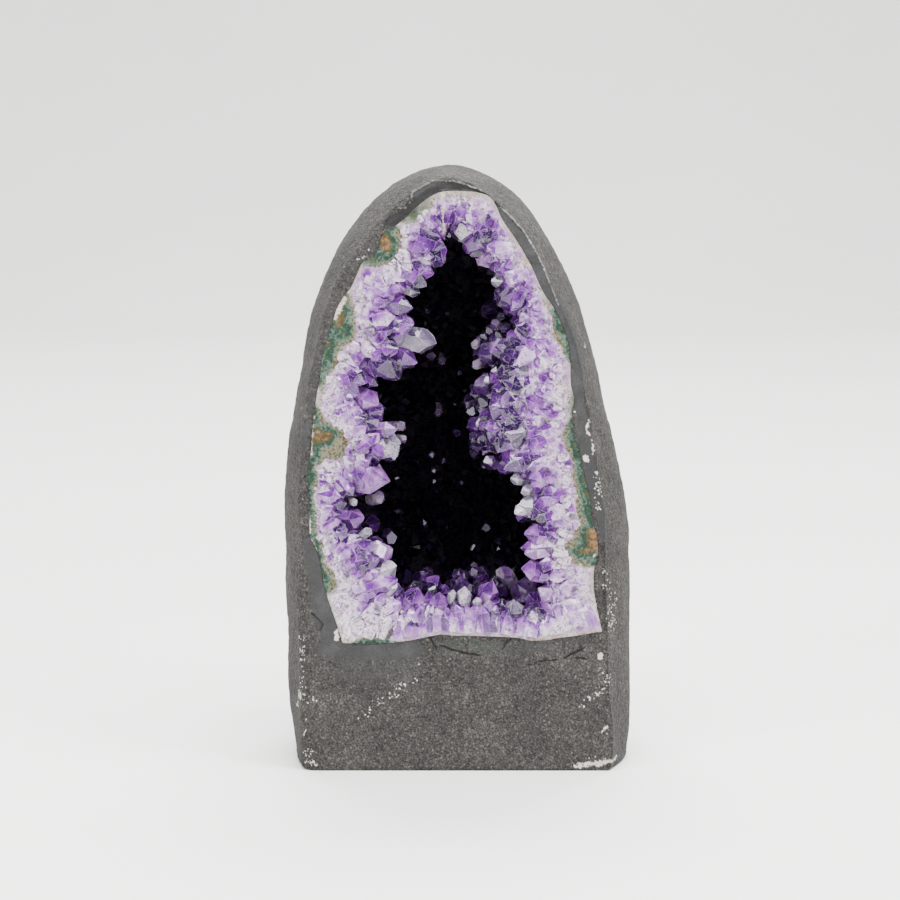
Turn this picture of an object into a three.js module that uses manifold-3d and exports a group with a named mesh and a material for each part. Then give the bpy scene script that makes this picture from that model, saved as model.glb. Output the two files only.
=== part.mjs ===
// Amethyst cathedral geode: a rock nodule sawn flat in front and flat underneath, and coated
// outside with dark cement. One crust of agate, quartz and amethyst crystals lines its hollow.
//
// Millimetres, +Z up, sawn front towards -Y. The origin is the middle of the footprint, on the base.
// Shapes are first worked out as (x, depth, z), with depth counted back from the sawn front.
// The front leans back, so a last shear turns depth into Y.
import * as THREE from "three";
import { mergeVertices } from "three/addons/utils/BufferGeometryUtils.js";
import Module from "manifold-3d";

const wasm = await Module();
wasm.setup();

// Driving dimensions
const LEAN = 0.06; // how far the sawn front leans back for each mm of height
const FRONT_Y = -49; // Y of the sawn front at the base
const AXIS = { x: -2, z: 111 }; // level line through the hollow, which every outline goes around
const SILL_Z = 48.5; // straight lower edge of the crust
const GIRTH_DEPTH = 26; // depth at which the nodule is widest
const BACK_DEPTH = 65; // from the widest place to the back
const POCKET_DEPTH = 73; // depth of the bowl in the stone
const HOLLOW_DEPTH = 59; // depth of the open hollow, before its crystals
const INNER_CRUST = 13; // thickness of the crust around the hollow
const FLOOR_CRUST = 8; // thickness of the crust under the hollow
const WIDENING_DEPTH = 16; // the hollow widens over this depth behind its mouth
// A knob of the crust that stands out into the hollow, on the right behind the mouth.
const KNOB = { height: 15, depth: 18, reach: 13, angle: 0.62, spread: 0.5 };
const GAP = 0.35; // joint between the crust and the stone
const LUMP = 1.1; // height of the lumps on the coated outside

// Outlines seen from the front, as [x, z], anticlockwise from the right.
// The widest outline of the nodule, which runs on below the base cut.
const GIRTH = [
  [61.6, 88], [59.6, 103], [56.8, 118], [50.3, 147], [43.7, 169.5], [33.3, 192.5], [22.8, 207.5],
  [9, 217], [-6, 220.3], [-20.6, 215], [-30.5, 207], [-42.2, 192], [-51.7, 169.5], [-57, 147],
  [-61.8, 118], [-63.2, 103], [-63.2, 72], [-63.2, 42], [-62, 12], [-56, -8], [-30, -17],
  [0, -19], [30, -17], [59, -8], [64.6, 12], [64, 42], [63.2, 72],
];
// The edge of the flat sawn front, which also runs on below the base cut.
const FRONT_EDGE = [
  [52.2, 101], [48.7, 127], [42.9, 154], [37.4, 168.5], [26.8, 189.5], [15.5, 205.7],
  [4.6, 212.6], [-4, 215.8], [-18.4, 208], [-35.5, 190], [-46.4, 172], [-52, 150], [-56.5, 121],
  [-57.6, 104], [-57, 77], [-55.9, 36], [-53, -6], [0, -14], [53, -6], [54.9, 36], [53.9, 70],
];
// The edge of the crust, which runs on below the sill.
const CRUST_EDGE = [
  [45.5, 112], [42.6, 130], [40.9, 154], [38, 163], [30, 183], [17.2, 201.7], [9, 209.6],
  [-7, 209.6], [-15.4, 203.6], [-24, 195], [-31.5, 187], [-39.1, 177], [-47.2, 159], [-51.3, 137.5],
  [-54.2, 117], [-55.4, 100], [-54.3, 86], [-49.3, 66], [-42.6, 48], [-38, 34], [0, 24],
  [54, 34], [52.2, 49], [50, 77], [48.6, 99],
];
// The mouth of the hollow, where the crystals are rooted.
const MOUTH = [
  [28, 112], [31, 131], [27.5, 157], [19, 177], [8, 190], [0, 198], [-9, 191], [-20, 178],
  [-27, 166], [-26, 152], [-35, 140], [-33, 125], [-37, 113], [-42, 98], [-37, 82], [-29, 68],
  [-18, 60], [0, 58], [20, 57], [37, 58], [31, 75], [26, 93],
];

// Crystals that stand out from the rest, from root to tip, as [x, depth, z].
const LEADING_CRYSTALS = [
  { root: [-27, 8, 163], tip: [-9, 1.5, 154], radius: 5.2 }, // the clear one on the left bulge
  { root: [32, 11, 163], tip: [15, 3, 152], radius: 6 }, // the pale pair on the right
  { root: [27, 21, 168], tip: [6, 13, 151], radius: 5.6 },
  { root: [32, 16, 145], tip: [12, 7, 142], radius: 5.2 },
  { root: [34, 12, 134], tip: [20, 3, 133], radius: 5 },
  { root: [33, 10, 99], tip: [19, 2.5, 97.5], radius: 4 },
  { root: [-41, 9, 118], tip: [-21, 2.5, 108], radius: 6 }, // the pair under the left notch
  { root: [-37, 10, 126], tip: [-19, 4, 121], radius: 4.4 },
  { root: [-40, 8, 92], tip: [-29, 3, 88], radius: 4.6 },
  { root: [2, 10, 52], tip: [2.5, 5, 69.5], radius: 3.4 }, // the row on the floor
  { root: [12, 14, 52], tip: [10.5, 8, 72], radius: 4.4 },
  { root: [25, 16, 51], tip: [22, 8, 71], radius: 6 },
  { root: [16, 32, 50], tip: [15.5, 24, 74], radius: 4.6 },
  { root: [-24, 10, 56], tip: [-17, 3, 72], radius: 4.6 },
];

// The rest of the crystals are scattered over the wall of the hollow, no two closer than the spacing.
const CRYSTAL_SPACING = 9.8;
const CRYSTAL_TRIES = 5000;
const CRYSTAL_RADIUS = [4.4, 7];
const CRYSTAL_REACH = [4.5, 9]; // how far their tips stand above the wall
const CRYSTAL_ROOT = 5; // how deep they are rooted in it
const CRYSTAL_LEAN = 0.35; // how far they lean from square to it
const TIP_SLOPE = 1.1; // height of a leading crystal's tip for each mm of its radius

const clamp01 = (t) => Math.min(1, Math.max(0, t));
const smooth = (t) => clamp01(t) ** 2 * (3 - 2 * clamp01(t));
const mix = (a, b, t) => a + (b - a) * t;
const steps = (count, wall) => Array.from({ length: count + 1 }, (_, i) => wall(i / count));
// A value from 0 to 1 for each whole number, scattered but the same each time.
const scatter = (n) => {
  const s = Math.sin(n * 12.9898 + 4.1414) * 43758.5453;
  return s - Math.floor(s);
};

// Radius around the axis as a smooth closed function of the angle, through an outline's points.
function radiusThrough(outline) {
  const knots = outline
    .map(([x, z]) => ({ a: Math.atan2(z - AXIS.z, x - AXIS.x), r: Math.hypot(x - AXIS.x, z - AXIS.z) }))
    .sort((p, q) => p.a - q.a);
  const at = (i) => {
    const turns = Math.floor(i / knots.length);
    const knot = knots[i - turns * knots.length];
    return { a: knot.a + 2 * Math.PI * turns, r: knot.r };
  };
  const slope = (i) => (at(i + 1).r - at(i - 1).r) / (at(i + 1).a - at(i - 1).a);
  return (angle) => {
    const a = Math.atan2(Math.sin(angle), Math.cos(angle));
    const i = knots.findLastIndex((knot) => knot.a <= a);
    const [p, q] = [at(i), at(i + 1)];
    const w = q.a - p.a;
    const t = (a - p.a) / w;
    return (
      p.r * (1 + 2 * t) * (1 - t) ** 2 + q.r * t * t * (3 - 2 * t) +
      w * (slope(i) * t * (1 - t) ** 2 - slope(i + 1) * t * t * (1 - t))
    );
  };
}

const girth = radiusThrough(GIRTH);
const frontEdge = radiusThrough(FRONT_EDGE);
const crustEdge = radiusThrough(CRUST_EDGE);
const mouth = radiusThrough(MOUTH);

// The hollow at its widest, with a level floor.
function innerEdge(angle) {
  const radius = crustEdge(angle) - INNER_CRUST;
  const floor = AXIS.z - SILL_Z - FLOOR_CRUST;
  return Math.sin(angle) < 0 ? Math.min(radius, floor / -Math.sin(angle)) : radius;
}

// A quarter of a superellipse: how far across and how far back, from (1, 0) at 0 to (0, 1) at 1.
function bowl(t, power) {
  const turn = (t * Math.PI) / 2;
  return [Math.max(0, Math.cos(turn)) ** (2 / power), Math.sin(turn) ** (2 / power)];
}

// Point (x, depth, z) at an angle around the axis.
const place = (angle, radius, depth) =>
  new THREE.Vector3(AXIS.x + radius * Math.cos(angle), depth, AXIS.z + radius * Math.sin(angle));

// Low lumps of the coat, none at the sawn edge.
function lump({ x, y: depth, z }) {
  const broad = Math.sin(x / 17 + 1.3) * Math.sin(z / 23 + 0.4);
  const small = Math.sin(x / 9 + depth / 11) * Math.sin(z / 10.5 + 2.1 + depth / 14);
  return LUMP * (broad + 0.6 * small) * smooth(depth / 12);
}

// Outside of the nodule behind the sawn front: it swells to the girth, then closes at the back.
// The lower back is boxier than the upper back.
function outerWall(angle, t) {
  const swell = 0.25; // share of the way that lies in front of the girth
  if (t < swell) {
    const s = t / swell;
    const radius = mix(frontEdge(angle), girth(angle), Math.sin((s * Math.PI) / 2));
    return place(angle, radius + lump(place(angle, radius, GIRTH_DEPTH * s)), GIRTH_DEPTH * s);
  }
  const [across, back] = bowl((t - swell) / (1 - swell), 2.35 - 0.45 * Math.sin(angle));
  const point = place(angle, girth(angle) * across, GIRTH_DEPTH + BACK_DEPTH * back);
  return place(angle, (girth(angle) + lump(point)) * across, point.y);
}

// Wall of the bowl in the stone, or of a bowl that is smaller all over by the inset.
function pocketWall(angle, t, inset = 0) {
  const [across, back] = bowl(t, 2.6);
  return place(angle, (crustEdge(angle) - inset) * across, (POCKET_DEPTH - inset) * back);
}

// Wall of the hollow, which widens behind its mouth and closes at the back.
function hollowWall(angle, t) {
  const [across, back] = bowl(t, 2.5);
  const depth = HOLLOW_DEPTH * back;
  const wide = mix(mouth(angle), innerEdge(angle), smooth(depth / WIDENING_DEPTH));
  const aside = Math.atan2(Math.sin(angle - KNOB.angle), Math.cos(angle - KNOB.angle));
  const off = ((depth - KNOB.depth) / KNOB.reach) ** 2 + (aside / KNOB.spread) ** 2;
  return place(angle, (wide - KNOB.height * Math.exp(-off)) * across, depth);
}

function solidFrom(geometry) {
  geometry.deleteAttribute("normal");
  geometry.deleteAttribute("uv");
  const merged = mergeVertices(geometry, 1e-4);
  return new wasm.Manifold(
    new wasm.Mesh({
      numProp: 3,
      vertProperties: merged.attributes.position.array,
      triVerts: Uint32Array.from(merged.index.array),
    }),
  );
}

// Solid of rings around the axis: each column of points runs from the back to the front,
// where the last ring is closed with a flat cap.
function ringSolid(columns, column) {
  const rows = Array.from({ length: columns }, (_, i) => column((2 * Math.PI * i) / columns));
  const last = rows[0].length - 1;
  const cap = new THREE.Vector3(AXIS.x, rows[0][last].y, AXIS.z);
  const corners = rows.flatMap((here, i) => {
    const next = rows[(i + 1) % columns];
    const walls = here.slice(0, -1).flatMap((_, r) => [
      ...(r > 0 ? [here[r], next[r], here[r + 1]] : []),
      ...[next[r], next[r + 1], here[r + 1]],
    ]);
    return [...walls, here[last], next[last], cap];
  });
  return solidFrom(new THREE.BufferGeometry().setFromPoints(corners));
}

// Bowls reach a little in front of the sawn front, so that they cut it cleanly.
const forward = (points) => [...points, new THREE.Vector3(...points.at(-1)).setY(-5)];

const backToFront = (count, wall) => steps(count, (t) => wall(1 - t));

function block(width, depth, height, x, y, z) {
  return solidFrom(new THREE.BoxGeometry(width, depth, height).translate(x, y, z));
}

// Everything behind the sawn front and above a level.
const above = (level, front) => block(300, 200, 300, 0, front + 100, level + 150);

function stoneShell() {
  const nodule = ringSolid(64, (angle) => backToFront(12, (t) => outerWall(angle, t)));
  const pocket = ringSolid(60, (angle) => forward(backToFront(6, (t) => pocketWall(angle, t))));
  return nodule.intersect(above(0, -1)).subtract(pocket.intersect(above(SILL_Z, -10)));
}

// One six-sided crystal from its root to its tip. Its shoulder is where the tip's faces begin.
function crystal(root, tip, radius, shoulder, twist) {
  const way = new THREE.Vector3().subVectors(tip, root);
  const length = way.length();
  const profile = [[0, 0], [radius, shoulder * length], [0, length]];
  if (shoulder > 0.5) profile.splice(1, 0, [radius * 0.85, 0]);
  const geometry = new THREE.LatheGeometry(profile.map((p) => new THREE.Vector2(...p)), 6);
  const turn = new THREE.Quaternion().setFromUnitVectors(new THREE.Vector3(0, 1, 0), way.normalize());
  return solidFrom(geometry.rotateY(twist).applyQuaternion(turn).translate(...root));
}

function leadingCrystals() {
  return LEADING_CRYSTALS.map(({ root, tip, radius }, i) => {
    const [from, to] = [new THREE.Vector3(...root), new THREE.Vector3(...tip)];
    const shoulder = 1 - (TIP_SLOPE * radius) / from.distanceTo(to);
    return crystal(from, to, radius, shoulder, scatter(i + 500));
  });
}

function scatteredCrystals() {
  const roots = [];
  for (let n = 0; n < CRYSTAL_TRIES; n += 1) {
    const [angle, t] = [2 * Math.PI * scatter(2 * n), scatter(2 * n + 1)];
    const here = hollowWall(angle, t);
    if (here.z > SILL_Z + 4 && roots.every((r) => r.here.distanceTo(here) > CRYSTAL_SPACING)) {
      roots.push({ angle, t, here });
    }
  }
  return roots.map(({ angle, t, here }, i) => {
    const along = hollowWall(angle + 0.02, t).sub(here);
    const back = hollowWall(angle, t + (t < 0.5 ? 0.02 : -0.02)).sub(here);
    const inwards = new THREE.Vector3().crossVectors(along, back).normalize();
    if (t >= 0.5) inwards.negate();
    const lean = new THREE.Vector3(scatter(7 * i), scatter(7 * i + 1), scatter(7 * i + 2))
      .subScalar(0.5).multiplyScalar(2 * CRYSTAL_LEAN);
    const way = inwards.add(lean).normalize();
    const root = here.clone().addScaledVector(way, -CRYSTAL_ROOT);
    const tip = here.clone().addScaledVector(way, mix(...CRYSTAL_REACH, scatter(7 * i + 3)));
    const radius = mix(...CRYSTAL_RADIUS, scatter(7 * i + 4) ** 1.5);
    return crystal(root, tip, radius, 0.5, scatter(7 * i + 5));
  });
}

// The crust fills the bowl but for the hollow. Its crystals are sawn flush with the front.
function crystalCrust() {
  const bed = ringSolid(60, (angle) => forward(backToFront(6, (t) => pocketWall(angle, t, GAP))));
  const hollow = ringSolid(44, (angle) => forward(backToFront(6, (t) => hollowWall(angle, t))));
  const crystals = [...leadingCrystals(), ...scatteredCrystals()].reduce((a, b) => a.add(b));
  const room = bed.intersect(above(SILL_Z + GAP, 0));
  return room.subtract(hollow).add(crystals.intersect(room));
}

// A named mesh of a solid, sheared so that the front leans back.
function meshOf(name, solid, material) {
  const { vertProperties, triVerts } = solid.getMesh();
  const geometry = new THREE.BufferGeometry()
    .setAttribute("position", new THREE.BufferAttribute(vertProperties, 3))
    .setIndex(new THREE.BufferAttribute(triVerts, 1))
    .applyMatrix4(new THREE.Matrix4().set(1, 0, 0, 0, 0, 1, LEAN, FRONT_Y, 0, 0, 1, 0, 0, 0, 0, 1));
  geometry.computeVertexNormals();
  const mesh = new THREE.Mesh(geometry, material);
  mesh.name = name;
  return mesh;
}

const stone = new THREE.MeshStandardMaterial({ color: 0x55534f, roughness: 0.95, metalness: 0 });
const amethyst = new THREE.MeshStandardMaterial({ color: 0x8c6bb8, roughness: 0.2, metalness: 0 });

const geode = new THREE.Group();
geode.add(meshOf("stone_shell", stoneShell(), stone));
geode.add(meshOf("crystal_crust", crystalCrust(), amethyst));

export default geode;
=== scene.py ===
import math

import bpy
import numpy as np
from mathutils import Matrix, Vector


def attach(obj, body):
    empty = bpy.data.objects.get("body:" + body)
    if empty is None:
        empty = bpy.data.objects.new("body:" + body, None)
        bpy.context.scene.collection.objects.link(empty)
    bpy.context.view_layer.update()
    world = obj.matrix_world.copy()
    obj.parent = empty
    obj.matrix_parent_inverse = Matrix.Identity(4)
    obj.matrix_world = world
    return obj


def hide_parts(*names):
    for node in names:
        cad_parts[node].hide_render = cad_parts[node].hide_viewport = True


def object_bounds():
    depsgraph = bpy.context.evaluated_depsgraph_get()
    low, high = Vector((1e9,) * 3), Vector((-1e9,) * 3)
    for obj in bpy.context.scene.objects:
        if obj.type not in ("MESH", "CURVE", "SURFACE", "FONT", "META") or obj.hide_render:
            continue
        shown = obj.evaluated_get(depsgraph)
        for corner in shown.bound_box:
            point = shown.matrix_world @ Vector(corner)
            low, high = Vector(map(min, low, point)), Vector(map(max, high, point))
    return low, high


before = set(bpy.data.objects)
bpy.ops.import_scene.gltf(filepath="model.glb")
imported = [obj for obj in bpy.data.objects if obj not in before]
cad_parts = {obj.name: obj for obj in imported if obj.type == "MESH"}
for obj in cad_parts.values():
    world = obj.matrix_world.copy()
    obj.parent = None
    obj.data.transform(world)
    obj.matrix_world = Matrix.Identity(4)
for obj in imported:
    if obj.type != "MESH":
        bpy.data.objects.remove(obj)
cad_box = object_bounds()


# Camera and studio. The geode stands on a pale table that curves up into a plain backdrop. A large soft
# light hangs over it, narrow ones stand in front on both sides with a small one between them, and another
# large one behind lights its back and the table.
AIM = (-0.00274, -0.0420, 0.1176)
ELEVATION, DISTANCE, LENS = math.radians(8.0), 1.195, 131.6


def put(name, data):
    """A new object in the scene that holds a mesh, a light or a camera."""
    made = bpy.data.objects.new(name, data)
    bpy.context.scene.collection.objects.link(made)
    return made


camera = put("camera", bpy.data.cameras.new("camera"))
camera.data.lens = LENS
camera.data.sensor_width = 36.0
camera.location = (
    AIM[0],
    AIM[1] - DISTANCE * math.cos(ELEVATION),
    AIM[2] + DISTANCE * math.sin(ELEVATION),
)
camera.rotation_euler = (math.pi / 2 - ELEVATION, 0.0, 0.0)
bpy.context.scene.camera = camera


def linear(code):
    """An sRGB hex colour as linear red, green and blue, with full alpha."""
    c = np.array([int(code[i:i + 2], 16) for i in (1, 3, 5)]) / 255.0
    return (*np.where(c <= 0.04045, c / 12.92, ((c + 0.055) / 1.055) ** 2.4).tolist(), 1.0)


def add(tree, kind, links=None, stops=(), out=0, **settings):
    """Adds a node and gives back one of its outputs. Links go by input: a value, or another's output."""
    made = tree.nodes.new("ShaderNode" + kind)
    for key, value in settings.items():
        setattr(made, key, value)
    for key, value in (links or {}).items():
        if isinstance(value, bpy.types.NodeSocket):
            tree.links.new(value, made.inputs[key])
        else:
            made.inputs[key].default_value = value
    if stops:
        ramp = made.color_ramp
        ramp.elements.remove(ramp.elements[1])
        ramp.elements[0].position, ramp.elements[0].color = stops[0][0], linear(stops[0][1])
        for at, code in stops[1:]:
            ramp.elements.new(at).color = linear(code)
    return made.outputs[out]


def material(name):
    """An empty material, with its tree of nodes and its output node."""
    made = bpy.data.materials.new(name)
    made.use_nodes = True
    made.node_tree.nodes.clear()
    return made, made.node_tree, made.node_tree.nodes.new("ShaderNodeOutputMaterial")


def table_top():
    """A sheet 6 m wide: level to 1.5 m behind the geode, then a quarter turn of 0.6 m up to the wall."""
    turn = np.linspace(0.0, math.pi / 2, 25)
    y = np.concatenate([[-4.0, -1.0, 0.5], 1.5 + 0.6 * np.sin(turn), [2.1]])
    z = np.concatenate([[0.0, 0.0, 0.0], 0.6 - 0.6 * np.cos(turn), [3.5]])
    x = np.linspace(-3.0, 3.0, 13)
    grid = np.stack(np.broadcast_arrays(x[None, :], y[:, None], z[:, None]), axis=-1)
    here = np.arange(len(y) - 1)[:, None] * len(x) + np.arange(len(x) - 1)
    faces = np.stack([here, here + 1, here + len(x) + 1, here + len(x)], axis=-1)
    mesh = bpy.data.meshes.new("table_top")
    mesh.from_pydata(grid.reshape(-1, 3), [], faces.reshape(-1, 4).tolist())
    mesh.shade_smooth()
    return mesh


# Matt white laminate, with the faintest unevenness in its shade.
laminate, tree, output = material("white_laminate")
place = add(tree, "TexCoord", out="Object")
cloud = add(tree, "TexNoise", {"Vector": place, "Scale": 3.0, "Detail": 3.0})
shade = add(tree, "ValToRGB", {"Fac": cloud}, stops=((0.3, "#eeedeb"), (0.7, "#f4f3f1")))
surface = add(tree, "BsdfPrincipled", {"Base Color": shade, "Roughness": 0.55, "IOR": 1.5})
tree.links.new(surface, output.inputs["Surface"])
floor = put("table_top", table_top())
floor.data.materials.append(laminate)

# Each light: name, place, width and height in metres, and power in watts. All face the hollow.
HOLLOW_MIDDLE = (0.0, 0.0, 0.11)
for name, place, width, height, power in (
    ("light_above", (0.15, -0.30, 1.15), 1.1, 0.7, 44.0),
    ("light_left", (-1.00, -0.90, 0.60), 0.30, 0.7, 17.0),
    ("light_right", (1.05, -0.75, 0.75), 0.30, 0.7, 12.5),
    ("light_front", (0.10, -1.30, 0.45), 0.30, 0.3, 2.2),
    ("light_behind", (0.0, 1.1, 1.6), 1.8, 0.8, 100.0),
):
    lamp = put(name, bpy.data.lights.new(name, "AREA"))
    lamp.data.shape, lamp.data.size, lamp.data.size_y, lamp.data.energy = "RECTANGLE", width, height, power
    lamp.location = place
    away = np.array(place) - HOLLOW_MIDDLE
    lamp.rotation_euler = (
        math.acos(away[2] / np.linalg.norm(away)), 0.0, math.atan2(away[1], away[0]) + math.pi / 2
    )
world = bpy.data.worlds.new("studio")
bpy.context.scene.world = world
world.use_nodes = True
world.node_tree.nodes["Background"].inputs["Color"].default_value = linear("#e9ebee")
world.node_tree.nodes["Background"].inputs["Strength"].default_value = 0.12


# The stone shell: a basalt nodule, sawn flat in front and underneath, and coated with rough dark
# cement. It is smooth and bluish beside the crystals, and chipped pale along the sawn edge.

# Its form is worked out as (x, depth, z) in millimetres, with depth counted back from the sawn
# front, around a level axis through the hollow. A last shear leans the front back.
FRONT_Y, LEAN = -49.0, 0.06
AXIS_X, AXIS_Z = -2.0, 111.0
GIRTH_DEPTH, BACK_DEPTH, POCKET_DEPTH = 26.0, 65.0, 73.0
# The power of the pocket's superellipse, and how far the corner above the base and the lip are rounded.
POCKET_POWER, BASE_ROUND, LIP_ROUND = 2.6, 2.0, 0.3
# How far the sawn edge is rounded on the left, and how much less on the right, where it is crisp.
EDGE_ROUND, CRISPER = 6.0, 5.1
# Outlines of the girth, of the sawn front and of the crust on it, as [x, z] seen from the front.
GIRTH = (
    (63.6, 86), (60.7, 103), (57.5, 118), (54.5, 133), (51.9, 147), (48.6, 158), (44.6, 170.2), (39.2, 182.3),
    (33.1, 193.3), (22.8, 207.2), (9.4, 216.9), (-5, 219.9), (-20.4, 214.6), (-30.9, 206.4), (-38, 198.4),
    (-44, 190.2), (-53.1, 169.5), (-58.1, 147), (-60.5, 133),
    (-62.3, 118), (-63.5, 103), (-64.2, 80), (-64.4, 66), (-63.4, 52), (-63.2, 42), (-62, 12), (-56, -8),
    (-30, -17), (0, -19), (30, -17), (59, -8), (65, 12), (64.6, 42), (64.2, 70),
)
FRONT_EDGE = (
    (52.2, 101), (50, 118), (48.7, 127), (45.8, 142), (43.4, 154), (40.6, 162), (37, 170.5), (33.6, 178),
    (30.9, 184.5), (27.6, 191), (23.4, 197.6), (17.6, 204), (11.5, 210), (4.6, 213.6), (-4, 216), (-18.4, 208.6),
    (-35.5, 190), (-46.4, 172), (-52, 150), (-56.5, 121),
    (-57.6, 104), (-57, 77), (-55.9, 36), (-53, -6), (0, -14), (53, -6), (54.9, 36), (54.2, 70),
)
CRUST_EDGE = (
    (52, 54.5), (50.6, 61), (49.7, 67), (49.8, 74), (51, 79), (50.9, 85), (49, 92), (47.8, 101.5), (45.8, 109),
    (44.5, 116), (42.2, 123), (41.6, 131), (42.3, 136), (41.1, 141.5), (40.8, 150.5), (39.9, 157), (37.8, 162.5),
    (34.6, 169.5), (31.7, 173.7), (29.4, 178), (27.3, 183), (24, 189), (19.6, 196), (15.9, 201.4), (13.9, 206),
    (11.8, 209), (8, 210.5), (1, 211.2), (-6, 210.8), (-9.8, 209.2), (-14.4, 205.7), (-18.3, 202), (-22, 199),
    (-26.2, 196.6), (-28, 193), (-28.8, 189.8), (-31.7, 187), (-34.6, 185.2), (-35.8, 182.6), (-38.3, 177),
    (-41, 173.5), (-43.6, 169), (-45.2, 164), (-46.6, 159.5), (-48.7, 152.5), (-49.8, 144.5), (-51.1, 137.7),
    (-52.1, 130.5), (-53.2, 117.5), (-54.5, 107), (-54, 102), (-53.8, 94.5), (-53.6, 86), (-51.6, 81.7),
    (-50, 77), (-48.7, 68.5), (-46.2, 60), (-44.2, 54.3), (-42, 47), (-38, 34), (0, 24), (54, 34),
)
# The lower edge of the crust, as [x, z].
SILL = (
    (-43, 47.2), (-33, 46.5), (-24, 47), (-17, 48), (-10.5, 49.4), (-6.4, 50.2), (-1, 49.7), (5, 49.7),
    (16, 49.3), (23, 48.9), (26.7, 47.8), (32, 48), (38, 49), (44, 49.6), (53, 51),
)
SILL_Z = 48.5
# Where the coat is smooth: strokes of [x, z] seen from the front, each after its half width and how smooth.
SMOOTH_COAT = (
    (2.2, 1.0, (15.5, 203.5), (21.5, 196.8), (25.9, 190), (29.3, 183.6), (31.7, 177.5)),
    (2.6, 0.9, (33.5, 174), (38.5, 166), (42, 157), (43.4, 148), (44, 138), (44.8, 131)),
    (3.0, 1.0, (45.4, 129), (46.6, 122), (47.6, 114), (49.4, 106)),
    (1.8, 1.0, (50.4, 100), (52, 92), (53.4, 86)),
    (2.0, 0.4, (-29.6, 194), (-36.8, 184), (-43.6, 172), (-47.9, 160), (-51, 148), (-52.8, 138)),
    (1.5, 0.8, (-53, 138), (-54.6, 128), (-55.8, 118), (-56.3, 110)),
    (3.6, 1.0, (-52.6, 82), (-51.8, 72), (-49.5, 60), (-46.6, 50)),
    (3.0, 1.0, (-47, 44.6), (-30, 43.4), (-16, 44.6)),
    (4.0, 0.45, (-41, 36.5), (-30, 36), (-19, 38)), (2.6, 0.5, (12, 45.4), (22, 45), (34, 45.6)),
)
# Where the coat stops short of the crystals and leaves a shallow recess, darkened in colour as painted shade, as
# the same kind of strokes.
RECESS = (
    (1.4, (6.5, 212), (0, 213), (-7, 213.2)), (3.0, (-8.5, 212), (-13.4, 209.2)),
    (2.0, (-15.4, 206.2), (-20, 202.8), (-24.4, 199.6)),
)
# Pale chips of the coat, as [x, z] strokes after their half width. Below 0, that leaves only their worst spots.
CHIPS = (
    (-0.3, (9, 211.4), (4.8, 212.7), (0.5, 214.5), (-6, 215)),
    (-0.2, (17, 204), (23.4, 197.4), (27.6, 190.8), (32, 182)),
    (0.2, (47.7, 129), (46.8, 124.6), (48.7, 122.5), (49.4, 116.5)), (1.0, (46.6, 114.6), (47, 113.8)),
    (0.3, (50.5, 109.5), (50.7, 108.6)), (0.3, (42.4, 131.4), (42.5, 131)), (0.25, (46.5, 154.6), (46.7, 153.8)),
    (0.8, (-44, 51.2), (-44.2, 48.4)), (0.5, (-57.8, 28.4), (-57.8, 26.2)), (0.15, (-58.8, 24), (-58.9, 21.8)),
    (0.4, (-55.3, 18.9), (-55.4, 18.5)), (0.5, (-55.6, 14.3), (-55.6, 13.9)), (0.2, (-57.2, 11.9), (-57.3, 11.5)),
    (0.5, (-55.7, 4.3), (-53.9, 2.9), (-51.5, 1.8)), (0.2, (-53.5, 6.4), (-53.5, 6.1)),
    (0.1, (-46.4, 2.8), (-46, 2.8)), (0.2, (-14.4, 39.3), (-14, 39.3)), (0.25, (-56, 49.3), (-56, 49)),
    (0.8, (52, 43), (52.2, 42)),
    (0.9, (43, 1.7), (49, 2.2), (53, 2.8), (57.6, 4)), (0.3, (54.6, 16.8), (53.2, 14), (55, 13)),
    (0.3, (55.2, 20.6), (55.6, 19.8)), (0.3, (43.6, 31.2), (43.8, 30.8)),
)
# Thin light lines where the outer coat ends over the smooth one, partly wear and partly a painted highlight along
# the edge, as [x, z] strokes.
STEPS = (
    ((15.3, 205.7), (17.7, 203.6), (23.4, 197.4), (27.6, 190.8), (30.9, 184.3), (33.4, 178), (36.6, 170)),
    ((9, 211.4), (4.8, 212.7), (0.5, 214.5), (-6, 215), (-9, 214.8), (-13.6, 212.3), (-16.4, 210.8),
     (-16.9, 207.4), (-19, 204.8), (-21.9, 205.2)),
)
# Scuffs, which are many fine pale dots, as [x, z] strokes after their half width.
SCUFFS = (
    (0.3, (-35.6, 19), (-31, 23.6), (-26.8, 26.4)), (0.7, (-26.8, 26.6), (-22.6, 28.4)),
    (0.4, (-21.6, 30.4), (-16, 33)),
    (1.4, (52.6, 35), (54.6, 33)), (1.0, (54.6, 31), (50, 27.6)), (0.5, (49, 26.6), (45.6, 23.8)),
    (0.8, (57, 64), (55.6, 56), (57, 52)), (0.5, (54.2, 68), (53.2, 74)), (0.3, (-56.8, 50), (-57, 30)),
    (0.6, (-57, 27), (-53, 26)), (0.9, (-54.6, 7), (-54, 3.5)), (0.8, (45, 3), (56, 4)),
    (0.4, (50.6, 108), (51.4, 96)), (0.5, (-31.6, 190), (-35, 186.4)),
)
# Dark cracks, and low ridges left by the trowel, in the same form.
CRACKS = (
    (0.3, (-53.1, 57.9), (-51.2, 56.1), (-49, 53.8), (-50.1, 51.7)),
    (0.35, (-10.2, 49.4), (-7.6, 44.8)), (0.8, (-5.8, 46.1), (-2, 44.4), (2, 43.4), (7.8, 42.6)),
    (0.3, (20, 49), (18, 47.3), (16.4, 44.8)), (0.5, (39.2, 41.6), (42, 43.2), (45.4, 44.6)),
    (0.6, (43.4, 41.4), (46.8, 41.2)), (0.25, (24, 38.2), (30, 40.4), (36, 40.8)),
)
RIDGES = (
    (1.6, (17.4, 37.4), (27, 39.6), (35, 41.2), (43.1, 42.6)), (1.2, (27.5, 41.8), (33, 44.4), (39, 45.2)),
)


def smooth(t):
    """An even step from 0 to 1: three squares of t less two cubes."""
    t = np.clip(t, 0.0, 1.0)
    return t * t * (3 - 2 * t)


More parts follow.
